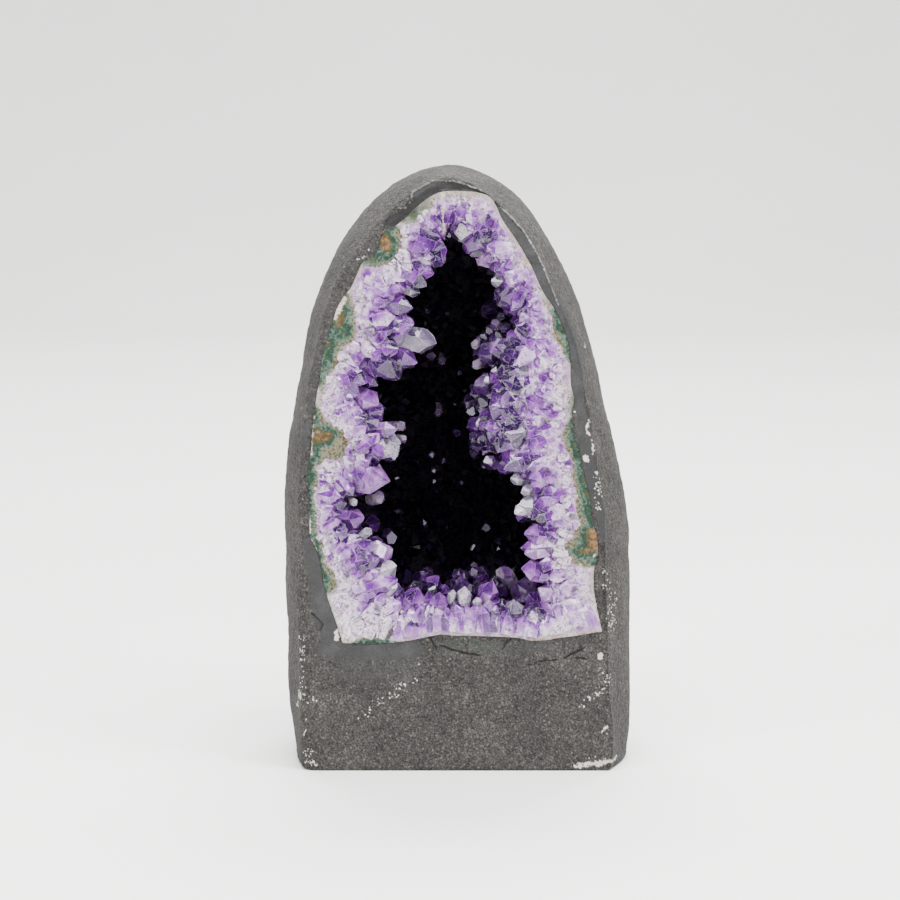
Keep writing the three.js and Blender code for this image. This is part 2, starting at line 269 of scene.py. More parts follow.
def outline(points):
    """Radius around the axis as a smooth function of the angle, through all the points of an outline.
    Between two neighbours it is a cubic, whose end slopes are those of the chords past each end."""
    p = np.array(points, float) - (AXIS_X, AXIS_Z)
    a, r = np.arctan2(p[:, 1], p[:, 0]), np.hypot(p[:, 0], p[:, 1])
    order = np.argsort(a)
    a, r = a[order], r[order]
    a = np.concatenate([a[-2:] - 2 * np.pi, a, a[:3] + 2 * np.pi])
    r = np.concatenate([r[-2:], r, r[:3]])
    slope = np.zeros_like(r)
    slope[1:-1] = (r[2:] - r[:-2]) / (a[2:] - a[:-2])

    def radius(angle):
        angle = np.arctan2(np.sin(angle), np.cos(angle))
        i = np.clip(np.searchsorted(a, angle, side="right") - 1, 1, len(a) - 3)
        w = a[i + 1] - a[i]
        t = (angle - a[i]) / w
        return (
            r[i] * (1 + 2 * t) * (1 - t) ** 2 + r[i + 1] * t * t * (3 - 2 * t)
            + w * (slope[i] * t * (1 - t) ** 2 - slope[i + 1] * t * t * (1 - t))
        )

    return radius


def above(radius, angle, level, soft=0.0):
    """A radius, or the one at which the ray reaches the level if that is less. Soft rounds the corner."""
    reach = (AXIS_Z - level) / np.maximum(-np.sin(angle), 1e-3)
    if not soft:
        return np.minimum(radius, reach)
    near = np.maximum(soft - np.abs(radius - reach), 0.0)
    return np.minimum(radius, reach) - near * near / (4 * soft)


def sill(angle):
    """Height of the crust's lower edge where a ray meets it: straight lines between its points."""
    x = AXIS_X + (AXIS_Z - SILL_Z) * np.cos(angle) / np.maximum(-np.sin(angle), 1e-3)
    return np.interp(x, *np.array(SILL).T)


def bowl(t, power):
    """A quarter of a superellipse: how far across and how far back, from (1, 0) at 0 to (0, 1) at 1."""
    turn = np.clip(t, 0.0, 1.0) * np.pi / 2
    return np.maximum(np.cos(turn), 0.0) ** (2 / power), np.sin(turn) ** (2 / power)


def around(angle, radius, depth):
    """Points (x, depth, z) at a radius from the axis, an angle around it and a depth."""
    angle, radius, depth = np.broadcast_arrays(angle, radius, depth)
    return np.stack([AXIS_X + radius * np.cos(angle), depth, AXIS_Z + radius * np.sin(angle)], axis=-1)


def lean_back(points):
    """Millimetres with depth to metres in the row frame: Y is depth, plus a share of Z, less the front's."""
    x, depth, z = np.moveaxis(np.asarray(points, float), -1, 0)
    return np.stack([x, FRONT_Y + LEAN * z + depth, z], axis=-1) / 1000.0


def noise(points, size, seed=0.0):
    """Noise from -1 to 1: a scattered value at each corner of cubes of that size, blended evenly between.
    A scattered value is the fraction of a large sine of the corner's whole numbers."""
    p = np.asarray(points, float) / size
    cell = np.floor(p)
    f = smooth(p - cell)
    total = np.zeros(p.shape[:-1])
    for corner in np.ndindex(2, 2, 2):
        at = cell + corner
        s = np.sin(at @ (12.9898, 78.233, 37.719) + seed * 4.1414) * 43758.5453
        total += np.prod(np.where(np.array(corner) > 0, f, 1 - f), axis=-1) * (s - np.floor(s))
    return 2 * total - 1


def unit(v):
    """Vectors scaled to length 1."""
    return v / np.maximum(np.linalg.norm(v, axis=-1, keepdims=True), 1e-9)


def to_path(x, z, path):
    """The way in the x-z plane from points to the nearest place on a path of straight lines, of length 1, how
    far that is, and the points' side of the path: 1 on its left, or -1 on its right."""
    q = np.stack([x, z], axis=-1)
    nearest, way, side = np.full(x.shape, 1e9), np.zeros(q.shape), np.ones(x.shape)
    path = np.array(path, float)
    for a, b in zip(path[:-1], path[1:]):
        along = b - a
        t = np.clip(((q - a) @ along) / (along @ along), 0.0, 1.0)
        off = q - a - t[..., None] * along
        far = np.hypot(off[..., 0], off[..., 1])
        nearer = far < nearest
        nearest = np.where(nearer, far, nearest)
        way = np.where(nearer[..., None], -off, way)
        on_right = along[0] * off[..., 1] - along[1] * off[..., 0] < 0
        side = np.where(nearer, np.where(on_right, -1.0, 1.0), side)
    return way / np.maximum(nearest, 1e-9)[..., None], nearest, side


def from_strokes(points, strokes):
    """Signed distance to the nearest of some strokes, and the least distance less the stroke's half width."""
    signed = np.full(points.shape[:-1], 1e3)
    edge = signed.copy()
    for half, *stroke in strokes:
        _, far, side = to_path(points[..., 0], points[..., 2], stroke)
        signed = np.where(far < np.abs(signed), side * far, signed)
        edge = np.minimum(edge, far - half)
    return signed, edge


def ring_mesh(name, rows, attributes):
    """A closed skin over rings around the axis, [ring, column]. The first and last ring are one point each."""
    rings, columns = rows.shape[:2]
    c = np.arange(columns)
    n = (c + 1) % columns
    base = 1 + np.arange(rings - 3)[:, None] * columns
    quads = np.stack([base + c, base + columns + c, base + columns + n, base + n], axis=-1)
    last = 1 + (rings - 2) * columns
    end = last - columns
    fans = np.concatenate([
        np.stack([np.zeros_like(c), 1 + c, 1 + n], axis=-1),
        np.stack([end + c, np.full_like(c, last), end + n], axis=-1),
    ])
    mesh = bpy.data.meshes.new(name)
    points = np.concatenate([rows[0, :1], rows[1:-1].reshape(-1, 3), rows[-1, :1]])
    mesh.from_pydata(lean_back(points), [], [*quads.reshape(-1, 4).tolist(), *fans.tolist()])
    for key, grid in attributes.items():
        values = np.concatenate([grid[0, :1], grid[1:-1].ravel(), grid[-1, :1]]).astype(np.float32)
        mesh.attributes.new(key, "FLOAT", "POINT").data.foreach_set("value", values)
    mesh.shade_smooth()
    return put(name, mesh)


girth, front_edge, crust_edge = outline(GIRTH), outline(FRONT_EDGE), outline(CRUST_EDGE)


def outer_radius(angle, depth):
    """Radius of the coated outside in front of the girth: a quarter sine from the sawn edge to the girth."""
    s = np.clip(depth / GIRTH_DEPTH, 0.0, 1.0)
    return front_edge(angle) + (girth(angle) - front_edge(angle)) * np.sin(s * np.pi / 2)


def shell_rings(columns):
    """Rings of the shell: out of the pocket, over the lip, across the sawn front, round its edge, and
    back over the girth to the pole."""
    angle = 2 * np.pi * (np.arange(columns) + 0.5) / columns
    rings = []

    def ring(radius, depth):
        rings.append(around(angle, radius, depth))

    lip = above(crust_edge(angle), angle, sill(angle))
    for t in np.linspace(1.0, 0.12, 6):
        across, back = bowl(t, POCKET_POWER)
        ring(np.minimum(crust_edge(angle) * across, lip), POCKET_DEPTH * back)
    ring(lip, 2.0)
    ring(lip, 0.35)
    crisp = smooth((np.cos(angle) + 0.35) / 0.7)
    edge_round = np.minimum(EDGE_ROUND - CRISPER * crisp, 0.8 * (front_edge(angle) - lip))
    edge = outer_radius(angle, edge_round)
    flat_end = above(edge - edge_round, angle, 0.0, BASE_ROUND)
    for share in np.linspace(0.0, 1.0, 42) ** 1.15:
        ring(lip + LIP_ROUND + (flat_end - lip - LIP_ROUND) * share, 0.0)
    for turn in np.radians((15, 30, 45, 60, 75)):
        radius = edge - edge_round * (1 - np.sin(turn))
        ring(above(radius, angle, 0.0, BASE_ROUND), edge_round * (1 - np.cos(turn)))
    for depth in np.linspace(0.0, 1.0, 16)[1:] ** 1.1 * (GIRTH_DEPTH - 2.8) + 2.8:
        ring(above(outer_radius(angle, depth), angle, 0.0, BASE_ROUND), depth)
    for t in np.concatenate([np.linspace(0.0, 0.62, 38)[1:], np.linspace(0.62, 1.0, 22)[1:]]):
        across, back = bowl(t, 2.35 - 0.45 * np.sin(angle))
        ring(above(girth(angle) * across, angle, 0.0, BASE_ROUND), GIRTH_DEPTH + BACK_DEPTH * back)
    return np.array(rings)


def weather(rows):
    """The way out, and lumps and grit of the coat along it: broad lumps as in the plain model, then knobs 7, 3
    and 1.7 mm across, which are noise."""
    x, depth, z = np.moveaxis(rows, -1, 0)
    out = rows - np.array([AXIS_X, 0.0, AXIS_Z])
    out[..., 1] = (depth - GIRTH_DEPTH) * 0.9 * smooth((depth - 20) / 30)
    broad = np.sin(x / 17 + 1.3) * np.sin(z / 23 + 0.4)
    small = np.sin(x / 9 + depth / 11) * np.sin(z / 10.5 + 2.1 + depth / 14)
    lumps = LUMP * (broad + 0.6 * small) * smooth(depth / 12)
    grit = 0.20 * noise(rows, 7.0, 1) + 0.18 * noise(rows, 3.0, 2) + 0.20 * noise(rows, 1.7, 3) - 0.4
    return unit(out), lumps, grit


# The rings' columns, how many rings lie in the pocket and on its lip, and the height of the lumps.
SHELL_COLUMNS, RINGS_INSIDE, LUMP = 700, 8, 0.6
# How deep the trowelled front dips between its ridges, how deep the grit's pits are, and the recess.
DIP, PIT, RECESS_DEPTH = 0.75, 0.35, 0.9

rows = shell_rings(SHELL_COLUMNS)
x, depth, z = np.moveaxis(rows, -1, 0)
outside = np.zeros(x.shape)
outside[RINGS_INSIDE:] = 1.0
flat = outside * (depth < 0.01)
smooth_coat, recess, ridge = np.zeros((3, *x.shape))
for half, how, *stroke in SMOOTH_COAT:
    wavy = to_path(x, z, stroke)[1] + 1.1 * noise(rows, 5.0, 42) + 0.6 * noise(rows, 2.0, 43)
    smooth_coat = np.maximum(smooth_coat, how * smooth(1.5 - wavy / half))
for half, *stroke in RECESS:
    wavy = to_path(x, z, stroke)[1] + 0.5 * noise(rows, 1.8, 41)
    recess = np.maximum(recess, smooth((half - wavy) / 0.7 + 0.5))
for half, *stroke in RIDGES:
    ridge = np.maximum(ridge, smooth(1.4 - to_path(x, z, stroke)[1] / half))
recess *= smooth((3 - depth) / 2)
smooth_coat *= smooth((8 - depth) / 6)
rough = 1 - 0.85 * smooth_coat

# The sides take lumps and grit both ways. The sawn front only cuts in, because it is the front of the whole.
out, lumps, grit = weather(rows)
level_face = flat * (z >= 0.05)
push = outside * (1 - flat) * (lumps + grit * (0.3 + 0.7 * rough))
rows = rows + out * (push * smooth(z / 4))[..., None]
rows[..., 1] += level_face * (DIP * (1 - ridge) * (1 - 0.8 * smooth_coat) * (0.5 - 0.5 * noise(rows, 4.5, 5)))
rows[..., 1] += level_face * PIT * rough * (0.5 + 0.5 * noise(rows, 1.8, 6))
rows[..., 1] += recess * outside * RECESS_DEPTH
low, high = np.array(cad_box) * 1000.0
rows[..., 0] = np.clip(rows[..., 0], low[0], high[0])
rows[..., 2] = np.clip(rows[..., 2], 0.0, high[2])
rows[..., 1] = np.minimum(rows[..., 1], high[1] - FRONT_Y - LEAN * rows[..., 2])
rows[0], rows[-1] = rows[0].mean(axis=0), rows[-1].mean(axis=0)

# Marks of wear belong to the front only, so behind it their distances grow past all bounds of the finish.
front_only = 30.0 * smooth((depth - 12) / 10)
crack_side, crack_near = from_strokes(rows, CRACKS)
mossy = smooth(1.5 - np.hypot((x - 4) / 15, (z - 46) / 3.6))
stone_shell = ring_mesh("geode_stone_shell", rows, {
    "smooth_coat": smooth_coat,
    "recess": recess,
    "mossy": mossy * flat,
    "chip": np.clip(from_strokes(rows, CHIPS)[1] + front_only, -2, 20),
    "scuff": np.clip(from_strokes(rows, SCUFFS)[1] + front_only, -3, 20),
    "step_wear_and_highlight": np.clip(from_strokes(rows, [(0, *stroke) for stroke in STEPS])[1] + front_only, 0, 20),
    "crack_side": np.clip(crack_side, -4, 4),
    "crack_near": np.clip(crack_near + front_only, -1, 20),
})

# Cement coat over basalt, trowelled on and left rough: matt dark grey, of sand with pale grains and dark
# pits among it. By the crystals it smooths into a bluish slurry. Scales are cells in a metre: sand and
# grains are 0.5 to 0.8 mm wide, a little coarser than life so that they show, knobs 2 mm, clouds 7 and 17 mm.
cement, tree, output = material("cement_coat")
place = add(tree, "TexCoord", out="Object")
coated, recess, mossy, chip, scuff, step_wear_and_highlight, crack, crack_near = (
    add(tree, "Attribute", attribute_name=key, out="Fac")
    for key in ("smooth_coat", "recess", "mossy", "chip", "scuff", "step_wear_and_highlight", "crack_side", "crack_near")
)
cloud = add(tree, "TexNoise", {"Vector": place, "Scale": 60.0, "Detail": 4.0, "Roughness": 0.6})
slurry = add(tree, "TexNoise", {"Vector": place, "Scale": 150.0, "Detail": 6.0, "Roughness": 0.6})
broken = add(tree, "TexNoise", {"Vector": place, "Scale": 330.0, "Detail": 2.0})
knobs = add(tree, "TexNoise", {"Vector": place, "Scale": 480.0, "Detail": 2.0})
ragged = add(tree, "TexNoise", {"Vector": place, "Scale": 900.0, "Detail": 3.0})
sand = add(tree, "TexNoise", {"Vector": place, "Scale": 1500.0, "Detail": 2.0, "Roughness": 0.55})
grains = add(tree, "TexVoronoi", {"Vector": place, "Scale": 1300.0}, out="Distance")
grain_pick = add(tree, "TexVoronoi", {"Vector": place, "Scale": 1900.0}, out="Color")
grain_pick = add(tree, "SeparateColor", {0: grain_pick})

# The rough coat, with pale grains and dark pits, and the smooth one, with pinholes.
tone = add(tree, "Math", {0: cloud, 1: 0.35}, operation="MULTIPLY")
for part, weight in ((knobs, 0.30), (sand, 1.0)):
    tone = add(tree, "Math", {0: part, 1: weight, 2: tone}, operation="MULTIPLY_ADD")
tone = add(tree, "MapRange", {"Value": tone, "From Min": 0.56, "From Max": 1.09})
rough_shade = add(tree, "ValToRGB", {"Fac": tone}, stops=(
    (0.0, "#151414"), (0.25, "#262524"), (0.5, "#343230"), (0.75, "#42403e"), (1.0, "#5f5c58")
))
pale_grain = add(tree, "MapRange", {"Value": grain_pick, "From Min": 0.975, "From Max": 0.99, "To Max": 0.28})
pit = add(tree, "MapRange", {"Value": grain_pick, "From Min": 0.07, "From Max": 0.04, "To Max": 0.6})
for cover, code in ((pale_grain, "#8f887d"), (pit, "#0f0e0d")):
    rough_shade = add(tree, "Mix", {0: cover, 6: rough_shade, 7: linear(code)}, data_type="RGBA", out=2)
slurry_shade = add(tree, "ValToRGB", {"Fac": slurry}, stops=(
    (0.35, "#1f2021"), (0.52, "#262628"), (0.68, "#323234")
))
pinholes = add(tree, "MapRange", {"Value": grain_pick, "From Min": 0.84, "From Max": 0.90, "To Max": 0.4})
slurry_shade = add(tree, "Mix", {0: pinholes, 6: slurry_shade, 7: linear("#161617")}, data_type="RGBA", out=2)
blend = add(tree, "Math", {0: sand, 1: -0.5}, operation="ADD")
blend = add(tree, "Math", {0: blend, 1: 0.7, 2: coated}, operation="MULTIPLY_ADD")
blend = add(tree, "MapRange", {"Value": blend, "From Min": 0.15, "From Max": 0.85, "To Max": 0.86})
blend = add(tree, "Math", {0: recess, 1: 0.7, 2: blend}, operation="MULTIPLY_ADD", use_clamp=True)
shade = add(tree, "Mix", {0: blend, 6: rough_shade, 7: slurry_shade}, data_type="RGBA", out=2)

# The marks, with the recess's painted shade and the step line's painted highlight: how far each covers the coat
# at a place, made ragged by noise, and then one over the other.
recess_painted_shade = add(tree, "Math", {0: recess, 1: 0.55}, operation="MULTIPLY")
mossy = add(tree, "Math", {0: mossy, 1: slurry}, operation="MULTIPLY")
mossy = add(tree, "MapRange", {"Value": mossy, "From Min": 0.46, "From Max": 0.62, "To Max": 0.7})
for part, weight in ((ragged, 2.4), (broken, 2.0)):
    chip = add(tree, "Math", {0: part, 1: weight, 2: chip}, operation="MULTIPLY_ADD")
chipped = add(tree, "MapRange", {"Value": chip, "From Min": 2.25, "From Max": 2.0, "To Max": 0.85})
scuff = add(tree, "MapRange", {"Value": scuff, "From Min": 1.6, "From Max": -0.6, "To Max": 0.17})
dots = add(tree, "Math", {0: grain_pick, 1: scuff}, operation="ADD")
dots = add(tree, "MapRange", {"Value": dots, "From Min": 0.99, "From Max": 1.02, "To Max": 0.8})
scuffed = add(tree, "MapRange", {"Value": scuff, "From Max": 0.03})
dots = add(tree, "Math", {0: dots, 1: scuffed}, operation="MULTIPLY")
chipped = add(tree, "Math", {0: chipped, 1: dots}, operation="MAXIMUM")
# The step line is pale: partly wear, and partly a painted highlight where the edge catches the light.
step_wear_and_highlight = add(tree, "Math", {0: ragged, 1: 1.2, 2: step_wear_and_highlight}, operation="MULTIPLY_ADD")
step_wear_and_highlight = add(tree, "MapRange", {"Value": step_wear_and_highlight, "From Min": 0.92, "From Max": 0.72, "To Max": 0.5})
crack = add(tree, "Math", {0: ragged, 1: 1.1, 2: crack}, operation="MULTIPLY_ADD")
crack = add(tree, "Math", {0: crack, 1: -0.55}, operation="ADD")
crack = add(tree, "Math", {0: crack}, operation="ABSOLUTE")
crack = add(tree, "MapRange", {"Value": crack, "From Min": 0.50, "From Max": 0.24})
crack_near = add(tree, "MapRange", {"Value": crack_near, "From Min": 0.5, "From Max": 0.1})
cracked = add(tree, "Math", {0: crack, 1: crack_near}, operation="MULTIPLY")
for cover, code in (
    (recess_painted_shade, "#1a1b1d"), (mossy, "#2c3d31"), (chipped, "#cbc6bd"), (step_wear_and_highlight, "#8d8a85"), (cracked, "#0e0d0d")
):
    shade = add(tree, "Mix", {0: cover, 6: shade, 7: linear(code)}, data_type="RGBA", out=2)

# The grain stands out where the coat is rough, and the cracks are cut in.
height = add(tree, "Math", {0: grains, 1: -0.6, 2: sand}, operation="MULTIPLY_ADD")
height = add(tree, "Math", {0: knobs, 1: 1.7, 2: height}, operation="MULTIPLY_ADD")
flatness = add(tree, "MapRange", {"Value": blend, "To Min": 1.0, "To Max": 0.22})
height = add(tree, "Math", {0: height, 1: flatness}, operation="MULTIPLY")
height = add(tree, "Math", {0: cracked, 1: -0.8, 2: height}, operation="MULTIPLY_ADD")
bump = add(tree, "Bump", {"Strength": 0.75, "Distance": 0.0009, "Height": height})
roughness = add(tree, "MapRange", {"Value": blend, "To Min": 0.92, "To Max": 0.6})
surface = add(tree, "BsdfPrincipled", {
    "Base Color": shade, "Roughness": roughness, "IOR": 1.5, "Specular IOR Level": 0.35, "Normal": bump
})
tree.links.new(surface, output.inputs["Surface"])
stone_shell.data.materials.append(cement)
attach(stone_shell, "root")
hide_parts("stone_shell")


# The bed of the crust: agate and massive quartz that grew inwards on the wall of the nodule and was
# sawn with it. From outside in it is tan clay, green celadonite, speckled agate, milky quartz and
# amethyst. Its inner side is the hollow, near black between the crystals rooted in it: partly the
# stone's deep violet, and partly painted shade.

# The hollow's depth, how thick the crust is inside and on the floor, how far back the mouth widens, and the
# gap that keeps the crust off the shell.
HOLLOW_DEPTH, INNER_CRUST, FLOOR_CRUST, WIDENING_DEPTH, GAP = 59.0, 13.0, 8.0, 16.0, 0.04
# The power of the hollow's superellipse, and how far along its curve the mouth is.
HOLLOW_POWER, MOUTH_T = 2.5, 0.03
# The knob's height, its place and half width in depth, and its place and half width around the axis.
KNOB_HEIGHT, KNOB_DEPTH, KNOB_REACH, KNOB_ANGLE, KNOB_SPREAD = 15.0, 18.0, 13.0, 0.62, 0.5
# The mouth of the hollow in the wall behind the crystals, as [x, z].
MOUTH = (
    (31, 62), (30, 68), (26.5, 76), (27, 86), (24.5, 94), (24.5, 100), (20, 109), (16, 117), (12.5, 125),
    (13.5, 133), (17.5, 146), (19.5, 157), (22, 165), (17, 173.5), (14, 181), (8, 187), (3, 195), (-2, 199),
    (-6, 188), (-12, 180), (-19, 174), (-20.5, 166), (-19, 158), (-20.5, 150), (-24, 145), (-31, 144.5),
    (-34.5, 137), (-31, 130), (-26, 126), (-24.5, 118), (-27, 112), (-30, 107), (-36, 103.5), (-41, 98),
    (-40.5, 94), (-38, 88), (-33, 83), (-26.5, 77), (-23, 70), (-18, 63), (-8, 61), (3, 60.5), (12, 60),
    (20, 58),
)
# Pockets in the rind, each an ellipse on the sawn front: x, z, half width, half height,
# how much of the green lining it has, and how far in its clay shows. Below 0, that is tan agate instead.
POCKETS = (
    (-26.2, 192.6, 3.0, 4.4, 1.0, 2.2), (-31.8, 187.6, 3.4, 1.4, 0.6, 0.3), (-43.0, 166.6, 2.4, 5.4, 0.9, 1.3),
    (-42.4, 160.6, 2.6, 2.2, 1.0, 0.4), (-46.6, 155.0, 1.6, 5.0, 0.8, 0.3), (-49.6, 148.5, 1.2, 5.0, 0.7, 0.3),
    (-53.2, 127.5, 2.6, 3.6, 0.9, 0.4), (-50.6, 122.6, 5.4, 3.0, 1.0, 1.4), (-53.0, 117.0, 2.4, 2.6, 0.9, 0.4),
    (-45.6, 120.0, 3.4, 3.0, 0.7, -3.0), (-40.0, 163.6, 1.0, 4.0, 0.6, -3.0), (-55.6, 107.5, 1.4, 6.0, 0.9, 0.2),
    (-55.2, 92.0, 1.5, 6.5, 0.8, 0.2), (-52.0, 80.0, 1.0, 5.5, 0.7, 0.2), (-50.6, 70.4, 2.4, 3.2, 0.9, 2.2),
    (-18.0, 203.2, 1.6, 1.1, 0.55, 0.2), (-12.6, 206.6, 1.6, 0.8, 0.5, 0.2),
    (33.8, 174.0, 1.0, 4.0, 0.4, 0.2), (38.6, 163.2, 2.0, 4.6, 1.0, 0.8), (42.2, 156.0, 1.2, 3.4, 0.8, 0.2),
    (43.6, 134.0, 0.7, 3.0, 0.6, 0.2), (43.8, 122.0, 1.8, 6.5, 0.8, 0.2), (46.6, 108.0, 1.9, 8.0, 0.9, 0.2),
    (48.6, 97.0, 2.0, 6.5, 1.0, 0.2), (50.4, 84.6, 4.2, 5.4, 1.0, 3.0), (46.6, 80.6, 3.8, 2.0, 1.0, 2.0),
    (-30.5, 45.4, 7.0, 1.4, 0.9, 0.2),
)
# Cream streaks of the rind's outermost clay, as [x, z] strokes after their half width.
CREAM = (
    (1.5, (-41.6, 172), (-42.8, 169.6), (-44.6, 166)), (0.5, (-52, 129.6), (-53, 122), (-53.2, 116)),
    (0.35, (-53.7, 94), (-53.7, 86), (-50.8, 79.6)), (0.6, (37.2, 167.6), (39.4, 159.4)),
    (0.6, (49.8, 79), (51, 79.6)), (0.6, (-5.4, 210.4), (-5, 201), (-4.8, 194)),
)
# Dark earthy flecks in the rind and the milky quartz, in the same form.
EARTH = (
    (1.0, (-23.6, 52.8), (-25.2, 49.6)), (0.4, (29.4, 176.6), (30.2, 175.4)), (0.3, (44.6, 118), (44.8, 116)),
    (0.3, (-52.4, 131.6), (-51.6, 130.6)), (0.3, (43.6, 128.4), (43.2, 126.4)),
)
# The edge of the crystals against the dark hollow, as [x, z] seen from the front.
CRYSTAL_EDGE = (
    (-2.7, 196.2), (-2.9, 184.6), (-7.5, 180.2), (-13.3, 174.1), (-16.2, 171.5), (-16.4, 166.4),
    (-15.1, 163.9), (-13, 158), (-15, 152), (-14.6, 147.1), (-21.4, 142.0), (-27.4, 141.8),
    (-31.2, 136.9), (-28.5, 133.2), (-25.4, 128.1), (-21.8, 124.6), (-20.7, 118.6), (-21.2, 113.8),
    (-25.4, 110.2), (-24.9, 104.6), (-28.6, 102.8), (-35.3, 100.2), (-37.9, 97.9), (-37.7, 94.7),
    (-35.7, 92.5), (-35.4, 89.2), (-30.4, 85.5), (-25.5, 81.5), (-21.8, 76.0), (-19.4, 70.4),
    (-16.5, 66.8), (-12.3, 66.0), (-8.6, 65.3), (-3.1, 63.8), (2.8, 65), (8.3, 66), (15.3, 62.8),
    (20.0, 61.6), (25, 63), (28.1, 67.5), (22.6, 73.4), (24.0, 78.4), (22.6, 81.5), (24.0, 88.7),
    (20, 92), (20.9, 94.7), (21.8, 99.7), (18.0, 105.8), (16.7, 108.3), (14.3, 114.2), (10, 118),
    (9, 125), (10, 132.5), (12, 139), (13, 146), (13.5, 153), (15, 158), (18.8, 162.0), (19.3, 164.2),
    (14.6, 168.6), (13.9, 171.1), (14.0, 174.4), (11.3, 179.1), (11.3, 181.9), (7.1, 183.5),
    (3.6, 184.6), (3.6, 191.5), (0.7, 192.0), (-2.7, 196.2),
)
mouth = outline(MOUTH)


def hollow_radius(angle, t):
    """Radius and depth of the hollow's wall: the mouth widens inwards, over the widening depth, to an even
    crust, and a bell-shaped knob stands out of it on the right."""
    across, back = bowl(t, HOLLOW_POWER)
    depth = HOLLOW_DEPTH * back
    wide = crust_edge(angle) - INNER_CRUST
    wide = above(wide, angle, SILL_Z + FLOOR_CRUST)
    wide = mouth(angle) + (wide - mouth(angle)) * smooth(depth / WIDENING_DEPTH)
    aside = np.arctan2(np.sin(angle - KNOB_ANGLE), np.cos(angle - KNOB_ANGLE))
    off = ((depth - KNOB_DEPTH) / KNOB_REACH) ** 2 + (aside / KNOB_SPREAD) ** 2
    return (wide - KNOB_HEIGHT * np.exp(-off)) * across, depth


def bed_rings(columns):
    """Rings of the bed: from the back of the hollow to its mouth, across the sawn band to the lip, and back
    over the hidden outside. Also how far in from the lip each lies: 0 to 1 on the band, 2 in the hollow, and
    -1 outside."""
    angle = 2 * np.pi * np.arange(columns) / columns
    rings, reached = [], []

    def ring(radius, depth, inwards):
        rings.append(around(angle, radius, depth))
        reached.append(np.full(columns, float(inwards)))

    for t in np.concatenate([np.linspace(1.0, 0.3, 18), np.linspace(0.3, MOUTH_T, 14)[1:]]):
        radius, depth = hollow_radius(angle, t)
        ring(radius, depth, 2)
    lip = above(crust_edge(angle) - GAP, angle, sill(angle) + GAP)
    rim, rim_depth = hollow_radius(angle, MOUTH_T)
    rim_depth = np.maximum(rim_depth, 4.0)
    for inwards in np.linspace(1.0, 0.0, 64):
        depth = 0.1 + 1.2 * smooth((inwards - 0.35) / 0.3) + (rim_depth - 1.3) * smooth((inwards - 0.72) / 0.28)
        ring(lip + (rim - lip) * inwards, depth, inwards)
    ring(lip, 0.6, -1)
    for t in np.linspace(0.1, 1.0, 6):
        across, back = bowl(t, POCKET_POWER)
        ring(np.minimum((crust_edge(angle) - GAP) * across, lip), (POCKET_DEPTH - GAP) * back, -1)
    return np.array(rings), np.array(reached)


def into_rind(points):
    """Millimetres in from the rind's outer boundary, and how green the boundary is there. The boundary is
    the crust's edge, pushed in by the pockets; points inside a pocket come out negative."""
    x, z = points[..., 0], points[..., 2]
    angle = np.arctan2(z - AXIS_Z, x - AXIS_X)
    lip = above(crust_edge(angle), angle, sill(angle))
    inwards = lip - np.hypot(x - AXIS_X, z - AXIS_Z)
    inwards *= np.where(lip < crust_edge(angle), -np.sin(angle), 1.0)
    depth, green = inwards + 0.2, np.zeros_like(x)
    warp = 0.9 * noise(points, 4.0, 31)
    for cx, cz, wide, high, lining, clay in POCKETS:
        off = np.hypot((x - cx) / wide, (z - cz) / high)
        far = (1 - 1 / np.maximum(off, 0.05)) * np.hypot(x - cx, z - cz) + warp
        green = np.maximum(green, lining * smooth(1.35 - far / 4.5))
        depth = np.minimum(depth, np.maximum(far, -clay))
    return depth, green


# The rings' columns, and the point in the hollow that its wall faces.
BED_COLUMNS, HOLLOW_CENTRE = 800, np.array([AXIS_X, 20.0, AXIS_Z])

rows, inwards = bed_rings(BED_COLUMNS)
x, depth, z = np.moveaxis(rows, -1, 0)
inside, band = inwards > 1, (inwards >= 0) & (inwards <= 1)
depth_in, green = into_rind(rows)
cream, earth = from_strokes(rows, CREAM)[1], from_strokes(rows, EARTH)[1]
# The share of the way from the rind to the crystals' edge, which sets how violet the quartz is.
share = depth_in / np.maximum(depth_in + to_path(x, z, CRYSTAL_EDGE)[1], 1e-6)
aside = np.abs(x - 1)
share += 0.3 * smooth((64 - z) / 8) * smooth((30 - aside) / 8)
# The two lower corners are milkier, and the left one most.
low_down = smooth((72 - z) / 14) * (0.2 + 0.8 * smooth((aside - 22) / 10)) * (1 - 0.5 * smooth((x - 18) / 10))
relief = 0.45 * noise(rows, 3.1, 11) + 0.3 * noise(rows, 1.4, 12)
rows[..., 1] += band * (0.5 + relief) * smooth(inwards * 8) * (0.3 + 0.7 * smooth(depth_in / 8))
out = unit(rows - HOLLOW_CENTRE)
rows = rows + out * (inside * (1.6 * noise(rows, 7.0, 13) + 0.8 * noise(rows, 3.5, 14)))[..., None]
rows[0], rows[-1] = rows[0].mean(axis=0), rows[-1].mean(axis=0)
bed = ring_mesh("crust_bed", rows, {
    "rind": np.clip(depth_in, -8, 40),
    "green": green,
    "share": np.where(inside, 1.0, share),
    "cream": np.clip(cream, -2, 20),
    "earth": np.clip(earth, -2, 20),
    "low_down": low_down,
    "hollow": np.where(inside, 1.0, smooth((inwards - 0.86) / 0.14)),
    "outward": np.arctan2(rows[..., 2] - AXIS_Z, rows[..., 0] - AXIS_X),
})


def bent(tree, place, much):
    """The place plus noise 3 mm wide times much, so that the borders of a pattern on it aren't straight."""
    bend = add(tree, "TexNoise", {"Vector": place, "Scale": 330.0, "Detail": 2.0}, out="Color")
    return add(tree, "VectorMath", {0: bend, 1: (much, much, much), 2: place}, operation="MULTIPLY_ADD")


